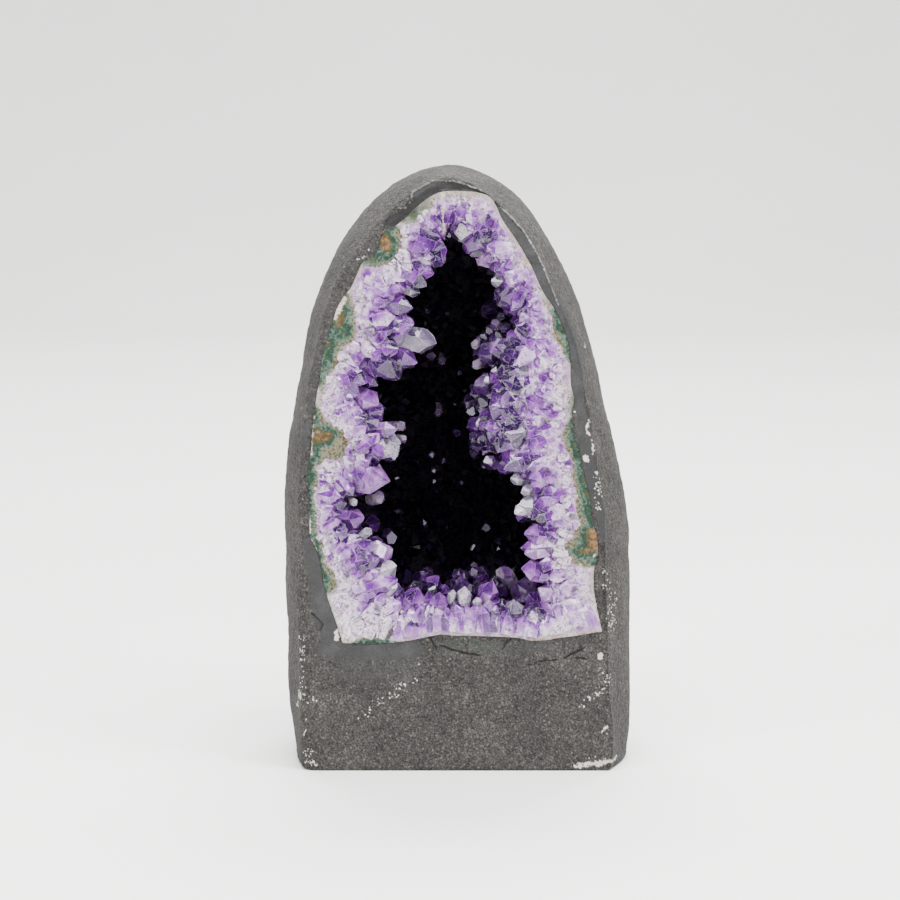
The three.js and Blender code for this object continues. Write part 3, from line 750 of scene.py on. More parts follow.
# Sawn agate and quartz: each layer's colour follows its distance in from the rind, made ragged by noise.
# Further in, the milky quartz turns to lilac with violet patches, and white healed cracks run through it.
# Scales are cells in a metre: specks and grain 0.7 to 0.8 mm, frayed edges 2 mm, curls 3 mm, sawn points 4 mm.
agate, tree, output = material("sawn_agate_and_quartz")
place = add(tree, "TexCoord", out="Object")
rind, share, green, hollow, cream, earthy, outward, low_down = (
    add(tree, "Attribute", attribute_name=key, out="Fac")
    for key in ("rind", "share", "green", "hollow", "cream", "earth", "outward", "low_down")
)
broad = add(tree, "TexNoise", {"Vector": place, "Scale": 130.0, "Detail": 3.0})
patch = add(tree, "TexNoise", {"Vector": place, "Scale": 140.0, "Detail": 4.0, "Roughness": 0.55})
curls = add(tree, "TexNoise", {"Vector": place, "Scale": 300.0, "Detail": 3.0, "Distortion": 0.8})
teal = add(tree, "TexNoise", {"Vector": place, "Scale": 420.0, "Detail": 3.0, "Distortion": 1.5})
ragged = add(tree, "TexNoise", {"Vector": place, "Scale": 520.0, "Detail": 4.0, "Roughness": 0.6})
clay = add(tree, "TexNoise", {"Vector": place, "Scale": 700.0, "Detail": 3.0, "Roughness": 0.7})
speck = add(tree, "TexNoise", {"Vector": place, "Scale": 1250.0, "Detail": 2.0, "Roughness": 0.6})
grain = add(tree, "TexVoronoi", {"Vector": place, "Scale": 1500.0}, out="Color")
grain = add(tree, "SeparateColor", {0: grain})
warped = bent(tree, place, 0.003)

# The layers, plain and green, by the distance in from the rind. Teal and dark clay lie in the green ones.
shifted = rind
for part, weight in ((ragged, 2.8), (curls, 5.0)):
    shifted = add(tree, "Math", {0: part, 1: weight, 2: shifted}, operation="MULTIPLY_ADD")
shifted = add(tree, "Math", {0: shifted, 1: -3.9}, operation="ADD")
layer = add(tree, "MapRange", {"Value": shifted, "From Min": -4.0, "From Max": 12.0})
green_layers = add(tree, "ValToRGB", {"Fac": layer}, stops=(
    (0.04, "#85583a"), (0.11, "#7f5c30"), (0.155, "#5f461d"), (0.18, "#433413"), (0.21, "#1b3b27"),
    (0.245, "#0e3122"), (0.28, "#09251c"), (0.315, "#15392e"), (0.34, "#3d5f50"), (0.375, "#65715f"),
    (0.42, "#6f6650"), (0.50, "#7d715c"), (0.60, "#8e8170"), (0.74, "#a89b93"), (0.88, "#b9aab0"),
    (1.0, "#b6a2b8"),
))
plain_layers = add(tree, "ValToRGB", {"Fac": layer}, stops=(
    (0.18, "#6c6459"), (0.25, "#948a7e"), (0.30, "#a89d94"), (0.42, "#b3a8a4"), (0.56, "#b9adac"),
    (0.72, "#bdaeb0"), (1.0, "#b6a2b8"),
))
teal = add(tree, "MapRange", {"Value": teal, "From Min": 0.50, "From Max": 0.62, "To Max": 0.65})
in_green = add(tree, "MapRange", {"Value": shifted, "From Min": -3.6, "From Max": -2.4})
clay = add(tree, "MapRange", {"Value": clay, "From Min": 0.44, "From Max": 0.56, "To Max": 0.85})
in_clay = add(tree, "MapRange", {"Value": shifted, "From Min": -1.0, "From Max": -1.6})
for cover, zone, code in ((teal, in_green, "#566f63"), (clay, in_clay, "#33290f")):
    cover = add(tree, "Math", {0: cover, 1: zone}, operation="MULTIPLY")
    green_layers = add(tree, "Mix", {0: cover, 6: green_layers, 7: linear(code)}, data_type="RGBA", out=2)
green_here = add(tree, "Math", {0: broad, 1: 0.8, 2: green}, operation="MULTIPLY_ADD")
green_here = add(tree, "MapRange", {"Value": green_here, "From Min": 0.62, "From Max": 1.05})
shade = add(tree, "Mix", {0: green_here, 6: plain_layers, 7: green_layers}, data_type="RGBA", out=2)

# Brown specks in the agate, further in where it is green.
speckled = add(tree, "MapRange", {"Value": speck, "From Min": 0.48, "From Max": 0.56, "To Max": 0.9})
speck_zone = add(tree, "Math", {0: green_here, 1: 4.0, 2: 5.0}, operation="MULTIPLY_ADD")
speck_zone = add(tree, "Math", {0: speck_zone, 1: shifted}, operation="SUBTRACT")
speck_zone = add(tree, "MapRange", {"Value": speck_zone, "From Max": 3.5})
tan_zone = add(tree, "MapRange", {"Value": shifted, "From Min": 0.8, "From Max": 2.0, "To Min": 0.2})
for zone in (speck_zone, tan_zone):
    speckled = add(tree, "Math", {0: speckled, 1: zone}, operation="MULTIPLY")

# The milky quartz: dull grains, white fibres that run outwards, greyish sugar, and whiter lower corners.
milky_zone = add(tree, "Math", {0: green_here, 1: -4.2, 2: shifted}, operation="MULTIPLY_ADD")
milky_zone = add(tree, "MapRange", {"Value": milky_zone, "From Min": -0.4, "From Max": 3.4})
fibre_place = add(tree, "CombineXYZ", {0: outward, 1: rind})
fibre_place = add(tree, "VectorMath", {0: fibre_place, 1: (70.0, 0.32, 1.0)}, operation="MULTIPLY")
fibres = add(tree, "TexNoise", {"Vector": fibre_place, "Scale": 1.1, "Detail": 4.0, "Roughness": 0.6})
dull = add(tree, "MapRange", {"Value": grain, "From Min": 0.3, "From Max": 1.0, "To Max": 0.65})
streak = add(tree, "MapRange", {"Value": fibres, "From Min": 0.50, "From Max": 0.62, "To Max": 0.6})
whiter = add(tree, "MapRange", {"Value": fibres, "From Min": 0.42, "From Max": 0.58, "To Max": 0.8})
low_down = add(tree, "Math", {0: low_down, 1: whiter}, operation="MULTIPLY")
sugar = add(tree, "Math", {0: speck, 1: ragged}, operation="ADD")
sugar = add(tree, "Math", {0: sugar, 1: curls}, operation="ADD")
sugar = add(tree, "MapRange", {"Value": sugar, "From Min": 1.53, "From Max": 1.33})

# The amethyst in it: points cut across, with dark cores, more violet further in, and white healed cracks.
cut_point = add(tree, "TexVoronoi", {"Vector": warped, "Scale": 230.0}, out="Color")
cut_point = add(tree, "SeparateColor", {0: cut_point})
core = add(tree, "TexVoronoi", {"Vector": warped, "Scale": 230.0}, feature="DISTANCE_TO_EDGE")
core = add(tree, "MapRange", {"Value": core, "From Min": 0.02, "From Max": 0.28, "To Min": 0.25})
violet = add(tree, "Math", {0: patch, 1: 1.7, 2: -1.15}, operation="MULTIPLY_ADD")
for part, weight in ((cut_point, 0.6), (share, 1.05)):
    violet = add(tree, "Math", {0: part, 1: weight, 2: violet}, operation="MULTIPLY_ADD")
violet = add(tree, "Math", {0: violet, 1: core}, operation="MULTIPLY")
mass = add(tree, "ValToRGB", {"Fac": violet}, stops=(
    (0.0, "#c2aec8"), (0.2, "#a377b6"), (0.45, "#7a3099"), (0.75, "#4d1070"), (1.0, "#2a034a")
))
in_mass = add(tree, "MapRange", {"Value": violet, "From Min": -0.10, "From Max": 0.14})
healed = add(tree, "TexVoronoi", {"Vector": warped, "Scale": 400.0}, feature="DISTANCE_TO_EDGE")
healed = add(tree, "MapRange", {"Value": healed, "From Min": 0.13, "From Max": 0.02})
some = add(tree, "MapRange", {"Value": ragged, "From Min": 0.44, "From Max": 0.58, "To Max": 0.85})
glassy = add(tree, "MapRange", {"Value": share, "From Min": 0.15, "From Max": 0.5})
for zone in (some, glassy):
    healed = add(tree, "Math", {0: healed, 1: zone}, operation="MULTIPLY")
dull, streak, in_mass, low_down, sugar = (
    add(tree, "Math", {0: cover, 1: milky_zone}, operation="MULTIPLY")
    for cover in (dull, streak, in_mass, low_down, sugar)
)

# Dark earth and cream clay, with frayed edges.
earthy = add(tree, "Math", {0: ragged, 1: 2.0, 2: earthy}, operation="MULTIPLY_ADD")
earthy = add(tree, "MapRange", {"Value": earthy, "From Min": 1.2, "From Max": 0.8, "To Max": 0.85})
creamy = cream
for part, weight in ((ragged, 3.4), (speck, 1.2)):
    creamy = add(tree, "Math", {0: part, 1: weight, 2: creamy}, operation="MULTIPLY_ADD")
creamy = add(tree, "MapRange", {"Value": creamy, "From Min": 2.4, "From Max": 1.7, "To Max": 0.85})
cream_shade = add(tree, "ValToRGB", {"Fac": speck}, stops=((0.40, "#dfd6ca"), (0.60, "#a8937a")))

# One over the other, and last the near-black wall of the hollow: partly the stone's deep violet, and partly
# painted shade.
for cover, colour, how in (
    (speckled, linear("#40361f"), "MIX"),
    (dull, linear("#83747f"), "MIX"),
    (streak, linear("#ddd2dc"), "MIX"),
    (in_mass, mass, "MIX"),
    (healed, linear("#e6dce8"), "MIX"),
    (low_down, linear("#ece2ee"), "MIX"),
    (sugar, linear("#9c8ba8"), "MULTIPLY"),
    (earthy, linear("#2a2219"), "MIX"),
    (creamy, cream_shade, "MIX"),
    (hollow, linear("#08030e"), "MIX"),
):
    shade = add(tree, "Mix", {0: cover, 6: shade, 7: colour}, data_type="RGBA", blend_type=how, out=2)
matt = add(tree, "MapRange", {"Value": hollow, "To Min": 0.48, "To Max": 0.95})
height = fibres
for part, weight in ((speck, 0.7), (healed, 0.25), (grain, 0.6)):
    height = add(tree, "Math", {0: part, 1: weight, 2: height}, operation="MULTIPLY_ADD")
bump = add(tree, "Bump", {"Strength": 1.0, "Distance": 0.0009, "Height": height})
surface = add(tree, "BsdfPrincipled", {
    "Base Color": shade, "Roughness": matt, "IOR": 1.54, "Specular IOR Level": 0.22, "Normal": bump,
    "Subsurface Weight": 0.08, "Subsurface Scale": 0.002, "Subsurface Radius": (1.0, 0.8, 1.0),
})
tree.links.new(surface, output.inputs["Surface"])
bed.data.materials.append(agate)
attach(bed, "root")
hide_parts("crystal_crust")


# The crystals at the mouth of the hollow: amethyst points 3 to 9 mm wide, packed side by side on the
# bed and sawn or broken a little where the front cut them. Clear violet tips grow from milky roots.
TIP_ANGLE = math.radians(51.8)
# How many different shapes there are, and how many of these, the first, have nearly equal faces.
SHAPES, REGULAR = 28, 6


def quartz_shape(rng, wildness):
    """A quartz point as the space inside thirteen planes: six sides, six tip faces, of which every second
    one starts lower, and a base. Corners are where three planes meet inside all others; a face is a fan of
    its corners around their middle. The sides are 1 from the axis, and the tip is at the origin.
    Wildness, from 0 to 1, is how unequal the faces are."""
    turn = np.radians(60.0) * np.arange(6)
    flat, up = math.sin(TIP_ANGLE), math.cos(TIP_ANGLE)
    sides = np.stack([np.cos(turn), np.sin(turn), 0 * turn], axis=-1)
    tips = np.stack([np.cos(turn) * flat, np.sin(turn) * flat, 0 * turn + up], axis=-1)
    normals = np.concatenate([sides, tips, [[0.0, 0.0, -1.0]]])
    high = rng.uniform(-0.03, 0.03 + 0.06 * wildness, 6)
    low = rng.uniform(0.02, 0.12 + 0.3 * wildness, 6)
    wide = rng.uniform(0.92 - 0.14 * wildness, 1.06 + 0.1 * wildness, 6)
    reach = np.concatenate([wide, np.where(np.arange(6) % 2, low, high), [3.0]])
    trio = np.array([(i, j, k) for i in range(13) for j in range(i) for k in range(j)])
    matrix, right = normals[trio], reach[trio]
    sound = np.abs(np.linalg.det(matrix)) > 1e-6
    corners = np.linalg.solve(matrix[sound], right[sound][..., None])[..., 0]
    corners = corners[(corners @ normals.T <= reach + 1e-7).all(axis=1)]
    corners = np.unique(corners.round(6), axis=0)
    points, rim, faces, face_tones = [corners], [np.zeros(len(corners))], [], []
    total = len(corners)
    for normal, distance in zip(normals, reach):
        on = np.flatnonzero(np.abs(corners @ normal - distance) < 1e-4)
        if len(on) < 3:
            continue
        middle = corners[on].mean(axis=0)
        u = corners[on[0]] - middle
        v = np.cross(normal, u)
        ring = on[np.argsort(np.arctan2((corners[on] - middle) @ v, (corners[on] - middle) @ u))]
        if normal[2] < -0.5:
            fan = [(ring[0], ring[i], ring[i + 1]) for i in range(1, len(ring) - 1)]
        else:
            points.append(middle[None])
            rim.append(np.array([np.linalg.norm(corners[on] - middle, axis=-1).min() * 0.8]))
            fan = [(a, b, total) for a, b in zip(ring, np.roll(ring, -1))]
            total += 1
        faces += fan
        face_tones += [rng.uniform()] * len(fan)
    points = np.concatenate(points)
    points[:, 2] -= points[:, 2].max()
    return points, np.concatenate(rim), np.array(faces), np.array(face_tones)


shape_rng = np.random.default_rng(11)
quartz_shapes = [quartz_shape(shape_rng, 0.2 if i < REGULAR else 1.0) for i in range(SHAPES)]


def amethyst(name, stops, milk, absorb, density, clarity, edges, flaws, shine=0.5, polish=0.06, dull=0.0):
    """Amethyst, grown from hot water in the nodule: glassy flat faces with thin pale worn edges and white
    healed cracks. Its colour runs from milky root to violet tip, and differs between crystals and faces.
    Clarity is how much light the clear parts pass, and edges and flaws are how pale those get. Shine is
    the strength of its gloss, polish its least roughness, and dull the share of faces without that polish.
    Scales are cells in a metre: fine cloud 0.7 mm, veils and healed cracks 2 mm, patches of colour 7 mm."""
    made, tree, output = material(name)
    place = add(tree, "TexCoord", out="Object")
    rim, along, tone, facet = (
        add(tree, "Attribute", attribute_name=key, out="Fac") for key in ("rim", "along", "tone", "facet")
    )
    patch = add(tree, "TexNoise", {"Vector": place, "Scale": 150.0, "Detail": 2.5, "Roughness": 0.5})
    cracked = add(tree, "TexNoise", {"Vector": place, "Scale": 210.0, "Detail": 3.0})
    veil = add(tree, "TexNoise", {"Vector": place, "Scale": 560.0, "Detail": 4.0, "Roughness": 0.7})
    fine = add(tree, "TexNoise", {"Vector": place, "Scale": 1500.0, "Detail": 3.0, "Roughness": 0.7})
    # How violet each place is, from 0 to 1.
    violet = add(tree, "Math", {0: patch, 1: 1.5, 2: -1.36}, operation="MULTIPLY_ADD")
    for part, weight in ((fine, 0.6), (tone, 1.0), (along, 0.30)):
        violet = add(tree, "Math", {0: part, 1: weight, 2: violet}, operation="MULTIPLY_ADD")
    violet = add(tree, "Math", {0: facet, 1: 0.48, 2: violet}, operation="MULTIPLY_ADD", use_clamp=True)
    shade = add(tree, "ValToRGB", {"Fac": violet}, stops=stops)
    # Worn edges and healed cracks are pale, a fine sugar as well, and the paler parts are cloudy.
    worn = add(tree, "Math", {0: veil, 1: 0.9, 2: rim}, operation="MULTIPLY_ADD")
    worn = add(tree, "MapRange", {"Value": worn, "From Min": 0.60, "From Max": 0.48, "To Max": edges})
    warped = bent(tree, place, 0.0012)
    healed = add(tree, "TexVoronoi", {"Vector": warped, "Scale": 520.0}, feature="DISTANCE_TO_EDGE")
    healed = add(tree, "MapRange", {"Value": healed, "From Min": 0.14, "From Max": 0.01})
    some = add(tree, "MapRange", {"Value": cracked, "From Min": 0.57, "From Max": 0.65, "To Max": flaws})
    healed = add(tree, "Math", {0: healed, 1: some}, operation="MULTIPLY")
    frost = add(tree, "Math", {0: worn, 1: healed}, operation="MAXIMUM")
    sugar = add(tree, "MapRange", {"Value": fine, "From Min": 0.50, "From Max": 0.66, "To Max": 0.6 * flaws})
    cloudy = add(tree, "Math", {0: fine, 1: veil}, operation="ADD")
    cloudy = add(tree, "MapRange", {"Value": cloudy, "From Min": 1.01, "From Max": 0.86})
    pale = add(tree, "MapRange", {"Value": violet, "From Min": 0.45, "From Max": 0.0, "To Min": 0.25})
    cloudy = add(tree, "Math", {0: cloudy, 1: pale}, operation="MULTIPLY")
    for cover, code, how in ((frost, milk, "MIX"), (sugar, milk, "MIX"), (cloudy, "#9786a5", "MULTIPLY")):
        shade = add(tree, "Mix", {0: cover, 6: shade, 7: linear(code)}, data_type="RGBA", blend_type=how, out=2)
    # Light passes where it is violet and free of frost. Frost and unpolished faces are rougher.
    clear = add(tree, "MapRange", {"Value": violet, "To Min": 0.4 * clarity, "To Max": clarity})
    solid = add(tree, "MapRange", {"Value": frost, "To Min": 1.0, "To Max": 0.35})
    clear = add(tree, "Math", {0: clear, 1: solid}, operation="MULTIPLY")
    bump = add(tree, "Bump", {"Strength": 0.05, "Distance": 0.0003, "Height": fine})
    roughness = add(tree, "MapRange", {"Value": frost, "To Min": polish, "To Max": 0.35})
    unpolished = add(tree, "MapRange", {"Value": facet, "From Min": dull, "From Max": dull - 0.1, "To Max": 0.6})
    roughness = add(tree, "Math", {0: roughness, 1: unpolished}, operation="MAXIMUM")
    surface = add(tree, "BsdfPrincipled", {
        "Base Color": shade, "Roughness": roughness, "IOR": 1.544, "Specular IOR Level": shine, "Normal": bump,
        "Transmission Weight": clear,
    })
    inside = add(tree, "VolumeAbsorption", {"Color": linear(absorb), "Density": density})
    tree.links.new(surface, output.inputs["Surface"])
    tree.links.new(inside, output.inputs["Volume"])
    return made


def crystal_cluster(
    name, finish, tips, ways, radii, lengths, tones, seed, kinds_used=SHAPES, cut=-0.5, towards=None
):
    """One piece of many points. Each takes one of the first shapes of the set, as many as kinds_used says, is
    scaled to its radius, turned so that its axis lies along its way, drawn out at the base to its length, and
    moved so that its tip is in place. Whatever would stand out before the depth of the cut is laid flat in
    it, as the saw did. Each turns one side to the way given as towards, within a few degrees, or else any
    way. The piece keeps how near each place is to a rim, how far along the point, its tone and its face's."""
    rng = np.random.default_rng(seed)
    kinds = rng.integers(0, kinds_used, len(tips))
    spin = rng.uniform(0, 2 * np.pi, len(tips))
    ways = unit(np.asarray(ways, float))
    helper = np.where(np.abs(ways[:, 2:]) < 0.8, [[0.0, 0.0, 1.0]], [[1.0, 0.0, 0.0]])
    u = unit(np.cross(helper, ways))
    v = np.cross(ways, u)
    if towards is not None:
        spin = np.arctan2((v * towards).sum(axis=-1), (u * towards).sum(axis=-1))
        spin += rng.normal(0, 0.1, len(tips))
    cos, sin = np.cos(spin)[:, None], np.sin(spin)[:, None]
    u, v = u * cos + v * sin, v * cos - u * sin
    points, faces, values, facets, total = [], [], [], [], 0
    for kind, (shape, rim, shape_faces, face_tones) in enumerate(quartz_shapes):
        which = np.flatnonzero(kinds == kind)
        if not len(which):
            continue
        local = shape[None] * radii[which, None, None]
        at_base = shape[:, 2] < shape[:, 2].min() + 0.02
        local[:, at_base, 2] = np.minimum(-lengths[which], -1.9 * radii[which])[:, None]
        world = (
            tips[which, None] + local[..., :1] * u[which, None] + local[..., 1:2] * v[which, None]
            + local[..., 2:] * ways[which, None]
        )
        world[..., 1] = np.maximum(world[..., 1], cut)
        points.append(world.reshape(-1, 3))
        offsets = total + np.arange(len(which))[:, None, None] * len(shape)
        faces.append((shape_faces[None] + offsets).reshape(-1, 3))
        facets.append(np.tile(face_tones, len(which)))
        total += len(which) * len(shape)
        along = 1 + local[..., 2] / np.maximum(lengths[which], 1e-6)[:, None]
        worn = rim[None] * radii[which, None]
        tone = np.broadcast_to(tones[which, None], along.shape)
        values.append(np.stack([worn, along, tone], axis=-1).reshape(-1, 3))
    mesh = bpy.data.meshes.new(name)
    mesh.from_pydata(lean_back(np.concatenate(points)), [], np.concatenate(faces).tolist())
    values = np.concatenate(values).astype(np.float32)
    for i, key in enumerate(("rim", "along", "tone")):
        mesh.attributes.new(key, "FLOAT", "POINT").data.foreach_set("value", values[:, i])
    facets = np.concatenate(facets).astype(np.float32)
    mesh.attributes.new("facet", "FLOAT", "FACE").data.foreach_set("value", facets)
    mesh.update()
    mesh.materials.append(finish)
    piece = put(name, mesh)
    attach(piece, "root")
    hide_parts("crystal_crust")


def inside_outline(x, z, path):
    """Whether points lie inside a closed outline: a level ray to the right crosses it an odd number of times."""
    path = np.array(path, float)
    odd = np.zeros(x.shape, bool)
    for (ax, az), (bx, bz) in zip(path, np.roll(path, -1, axis=0)):
        if az != bz:
            odd ^= ((az > z) != (bz > z)) & (x < (bx - ax) * (z - az) / (bz - az) + ax)
    return odd


def keep_apart(points, radii, tightness):
    """Which points to keep so that no two are nearer than a share of their two radii. Earlier ones stay."""
    kept = []
    for i in range(len(points)):
        gaps = np.linalg.norm(points[kept] - points[i], axis=-1) if kept else np.ones(0)
        if (gaps > tightness * (radii[kept] + radii[i])).all():
            kept.append(i)
    return np.array(kept)


def pick(which, *columns):
    """The chosen rows of several columns."""
    return [column[which] for column in columns]


# The least and greatest x and z of the sawn band.
BAND_X, BAND_Z = (-56, 52), (47, 211)


def on_front(rng, tries, size, tightness, shares, taken):
    """Places scattered over the front between the rind and the dark hollow: x, z, distance to the hollow's
    edge, the way there, share of the way from the rind to that edge, and radius. Their shares lie between
    the two given. Size gives the radius for a share, and near the rind it is less. None lies in the discs
    taken, which are rows of x, z and radius."""
    x, z = rng.uniform(*BAND_X, tries), rng.uniform(*BAND_Z, tries)
    depth_in, green = into_rind(np.stack([x, 0 * x, z], axis=-1))
    inward, gap, _ = to_path(x, z, CRYSTAL_EDGE)
    share = depth_in / np.maximum(depth_in + gap, 1e-6)
    ready = ~inside_outline(x, z, CRYSTAL_EDGE) & (share > shares[0]) & (share < shares[1])
    ready &= depth_in > 2.6 + 4.4 * green
    ready &= (np.hypot(x[:, None] - taken[:, 0], z[:, None] - taken[:, 1]) > taken[:, 2]).all(axis=1)
    x, z, gap, inward, share, depth_in = pick(ready, x, z, gap, inward, share, depth_in)
    radii = np.minimum(size(share) * rng.uniform(0.65, 1.35, len(x)), 0.7 * depth_in)
    order = np.argsort(-radii + rng.uniform(0, 1.5, len(x)))
    kept = order[keep_apart(np.stack([x, z], axis=-1)[order], radii[order], tightness)]
    return pick(kept, x, z, gap, inward, share, radii)


def spots(x, z, rows):
    """The sum of bell curves over the front. Each row has x, z, half width, half height and how much."""
    return sum(
        much * np.exp(-((x - cx) / wide) ** 2 - ((z - cz) / high) ** 2) for cx, cz, wide, high, much in rows
    )


# The leading ones, each where the photograph has it: tip as x, depth and z, the way it points, radius,
# and tone from pale to dark. The first group is clear and greyish, the second lilac and violet.
CLEAR_POINTS = (
    ((-7.5, 4.6, 155.8), (0.93, -0.30, -0.12), 4.9, 0.55), ((-26.7, 1.0, 120.6), (0.3, -0.85, 0.4), 3.0, 0.1),
    ((-23.4, 1.0, 118.4), (0.5, -0.8, 0.2), 2.5, 0.1), ((-20.6, 4.0, 119.4), (0.8, -0.5, -0.1), 3.0, 0.35),
    ((-36.9, 1.0, 98.2), (0.3, -0.9, 0.0), 1.2, 0.0), ((-31.4, 2.0, 88.4), (0.5, -0.6, 0.5), 1.8, 0.0),
    ((-31.9, 2.0, 82.5), (0.6, -0.7, 0.3), 1.8, 0.0), ((-27.9, 3.0, 83.3), (0.6, -0.7, 0.3), 1.2, 0.0),
    ((-22.2, 2.0, 75.2), (0.6, -0.65, 0.4), 3.4, 0.2), ((-22.0, 1.0, 68.8), (0.6, -0.4, 0.7), 1.6, 0.0),
    ((-36.5, 1.0, 78.9), (0.4, -0.9, 0.1), 1.2, 0.0), ((14.0, 2.0, 139.0), (-0.66, -0.7, 0.26), 2.9, 0.0),
    ((17.7, 1.5, 142.8), (-0.4, -0.6, 0.7), 2.6, 0.05), ((21.0, 1.0, 140.0), (-0.6, -0.75, 0.2), 2.5, 0.0),
    ((9.7, 8.0, 141.9), (-0.6, -0.8, 0.1), 1.4, 0.1), ((19.1, 3.0, 126.2), (-0.6, -0.75, 0.1), 3.8, 0.25),
    ((20.5, 2.0, 118.1), (-0.5, -0.8, 0.2), 2.8, 0.1), ((19.3, 2.0, 107.1), (-0.7, -0.7, 0.2), 2.0, 0.1),
    ((23.6, 1.0, 103.2), (-0.5, -0.8, 0.2), 2.2, 0.1), ((22.3, 1.0, 97.8), (-0.6, -0.75, 0.2), 3.8, 0.15),
    ((20.6, 1.0, 94.3), (-0.7, -0.6, -0.3), 2.0, 0.0), ((2.6, 2.0, 67.5), (0.1, -0.45, 0.9), 2.4, 0.1),
    ((-1.6, 1.5, 66.4), (0.1, -0.5, 0.85), 1.6, 0.0), ((7.4, 1.0, 63.6), (0.0, -0.7, 0.7), 1.3, 0.0),
    ((20.4, 2.0, 62.7), (0.0, -0.6, 0.8), 3.3, 0.25), ((1.4, 3.0, 193.1), (-0.1, -0.7, -0.7), 3.3, 0.15),
    ((-9.2, 1.0, 185.3), (0.6, -0.75, -0.2), 2.4, 0.1), ((-13.6, 2.0, 174.4), (0.7, -0.65, -0.2), 2.5, 0.3),
    ((12.1, 3.0, 178.7), (-0.7, -0.65, 0.1), 2.2, 0.4),
)
VIOLET_POINTS = (
    ((20.8, 0.6, 147.6), (-0.55, -0.6, -0.58), 4.6, 0.05), ((-14.5, 3.0, 148.8), (0.75, -0.6, -0.3), 4.0, 0.6),
    ((-28.5, 1.0, 134.0), (0.6, -0.75, -0.2), 4.0, 0.25),
    ((-22.0, 2.0, 125.1), (0.85, -0.5, 0.1), 3.0, 0.4), ((-24.5, 1.5, 106.1), (0.85, -0.5, -0.1), 5.4, 0.25),
    ((11.8, 6.0, 152.3), (-0.75, -0.6, -0.1), 4.2, 0.35), ((12.6, 7.0, 143.8), (-0.8, -0.55, 0.0), 3.4, 0.5),
    ((25.5, 1.0, 148.9), (-0.3, -0.85, -0.3), 2.5, 0.6), ((25.2, 1.0, 141.6), (-0.3, -0.85, -0.1), 3.0, 0.5),
    ((13.0, 4.0, 69.3), (0.3, -0.5, 0.8), 3.4, 0.35), ((11.6, 2.0, 62.4), (0.0, -0.6, 0.8), 3.8, 0.25),
    ((28.4, 1.0, 59.6), (-0.1, -0.6, 0.8), 3.4, 0.1),
    ((30.8, 3.0, 62.4), (-0.3, -0.6, 0.7), 4.0, 0.2), ((29.3, 2.0, 66.8), (-0.6, -0.65, 0.4), 3.8, 0.25),
    ((23.1, 1.0, 74.3), (-0.8, -0.6, 0.2), 3.5, 0.15), ((37.4, 0.5, 61.8), (-0.7, -0.7, 0.2), 4.6, 0.1),
    ((9.2, 2.0, 186.0), (-0.2, -0.95, -0.1), 3.6, 0.15), ((-4.5, 2.0, 193.5), (0.7, -0.6, -0.4), 3.4, 0.7),
    ((4.5, 4.0, 187.6), (-0.6, -0.7, -0.3), 3.0, 0.8), ((-16.0, 1.5, 169.0), (0.85, -0.5, -0.1), 3.6, 0.55),
    ((-8.5, 1.0, 181.4), (0.75, -0.6, -0.2), 3.6, 0.5), ((-22.6, 2.0, 143.6), (0.55, -0.5, -0.65), 4.4, 0.7),
    ((-29.6, 3.0, 143.4), (0.3, -0.6, -0.7), 3.8, 0.6), ((24.2, 0.5, 87.0), (-0.85, -0.5, 0.1), 3.6, 0.3),
    ((24.4, 1.0, 79.6), (-0.85, -0.5, -0.1), 3.2, 0.3), ((-14.4, 2.0, 67.0), (0.3, -0.5, 0.8), 3.8, 0.5),
    ((-6.6, 2.0, 65.4), (0.0, -0.5, 0.85), 3.4, 0.3), ((16.6, 1.5, 132.4), (-0.75, -0.65, 0.0), 4.0, 0.6),
    ((15.6, 3.0, 172.4), (-0.85, -0.5, 0.0), 3.6, 0.4), ((10.4, 9.0, 136.4), (-0.8, -0.55, 0.0), 4.0, 0.75),
    ((-17.6, 2.0, 159.6), (0.8, -0.6, 0.1), 3.4, 0.5), ((-34.0, 2.0, 92.6), (0.7, -0.65, 0.1), 3.4, 0.45),
)
# Dull grey and dim violet points that catch a little light just inside the hollow, their grey partly a painted
# highlight, in the same form.
DIM_POINTS = (
    ((-19.2, 9.0, 125.2), (0.5, -0.85, 0.1), 1.8, 0.1), ((-18.7, 9.0, 120.1), (0.5, -0.85, 0.0), 1.3, 0.1),
    ((-26.9, 8.0, 99.8), (0.5, -0.8, 0.2), 2.2, 0.2), ((12.2, 9.0, 162.6), (-0.5, -0.85, 0.2), 2.0, 0.2),
    ((5.2, 13.0, 153.5), (-0.5, -0.85, -0.3), 1.8, 0.1), ((5.6, 13.0, 146.3), (-0.5, -0.85, -0.2), 1.8, 0.1),
    ((7.7, 11.0, 131.7), (-0.6, -0.8, 0.2), 2.4, 0.15), ((6.6, 11.0, 125.5), (-0.6, -0.8, 0.0), 2.4, 0.2),
    ((10.2, 9.0, 118.6), (-0.6, -0.8, -0.2), 3.0, 0.2), ((15.9, 11.0, 72.9), (-0.3, -0.7, 0.6), 2.8, 0.25),
    ((21.5, 10.0, 67.5), (-0.4, -0.75, 0.5), 4.6, 0.5), ((1.5, 14.0, 69.5), (0.0, -0.7, 0.7), 3.6, 0.6),
    ((6.0, 9.0, 140.0), (-0.7, -0.7, 0.1), 3.6, 0.6), ((7.6, 8.0, 151.4), (-0.7, -0.7, -0.1), 3.8, 0.5),
    ((4.6, 13.0, 120.4), (-0.7, -0.7, 0.1), 3.0, 0.7), ((9.4, 8.0, 112.0), (-0.7, -0.7, 0.1), 2.8, 0.7),
)
# The way that the clear and the dim points turn one side: up and to the front, where the light is.
UP_FRONT = np.array([0.1, -0.74, 0.66])


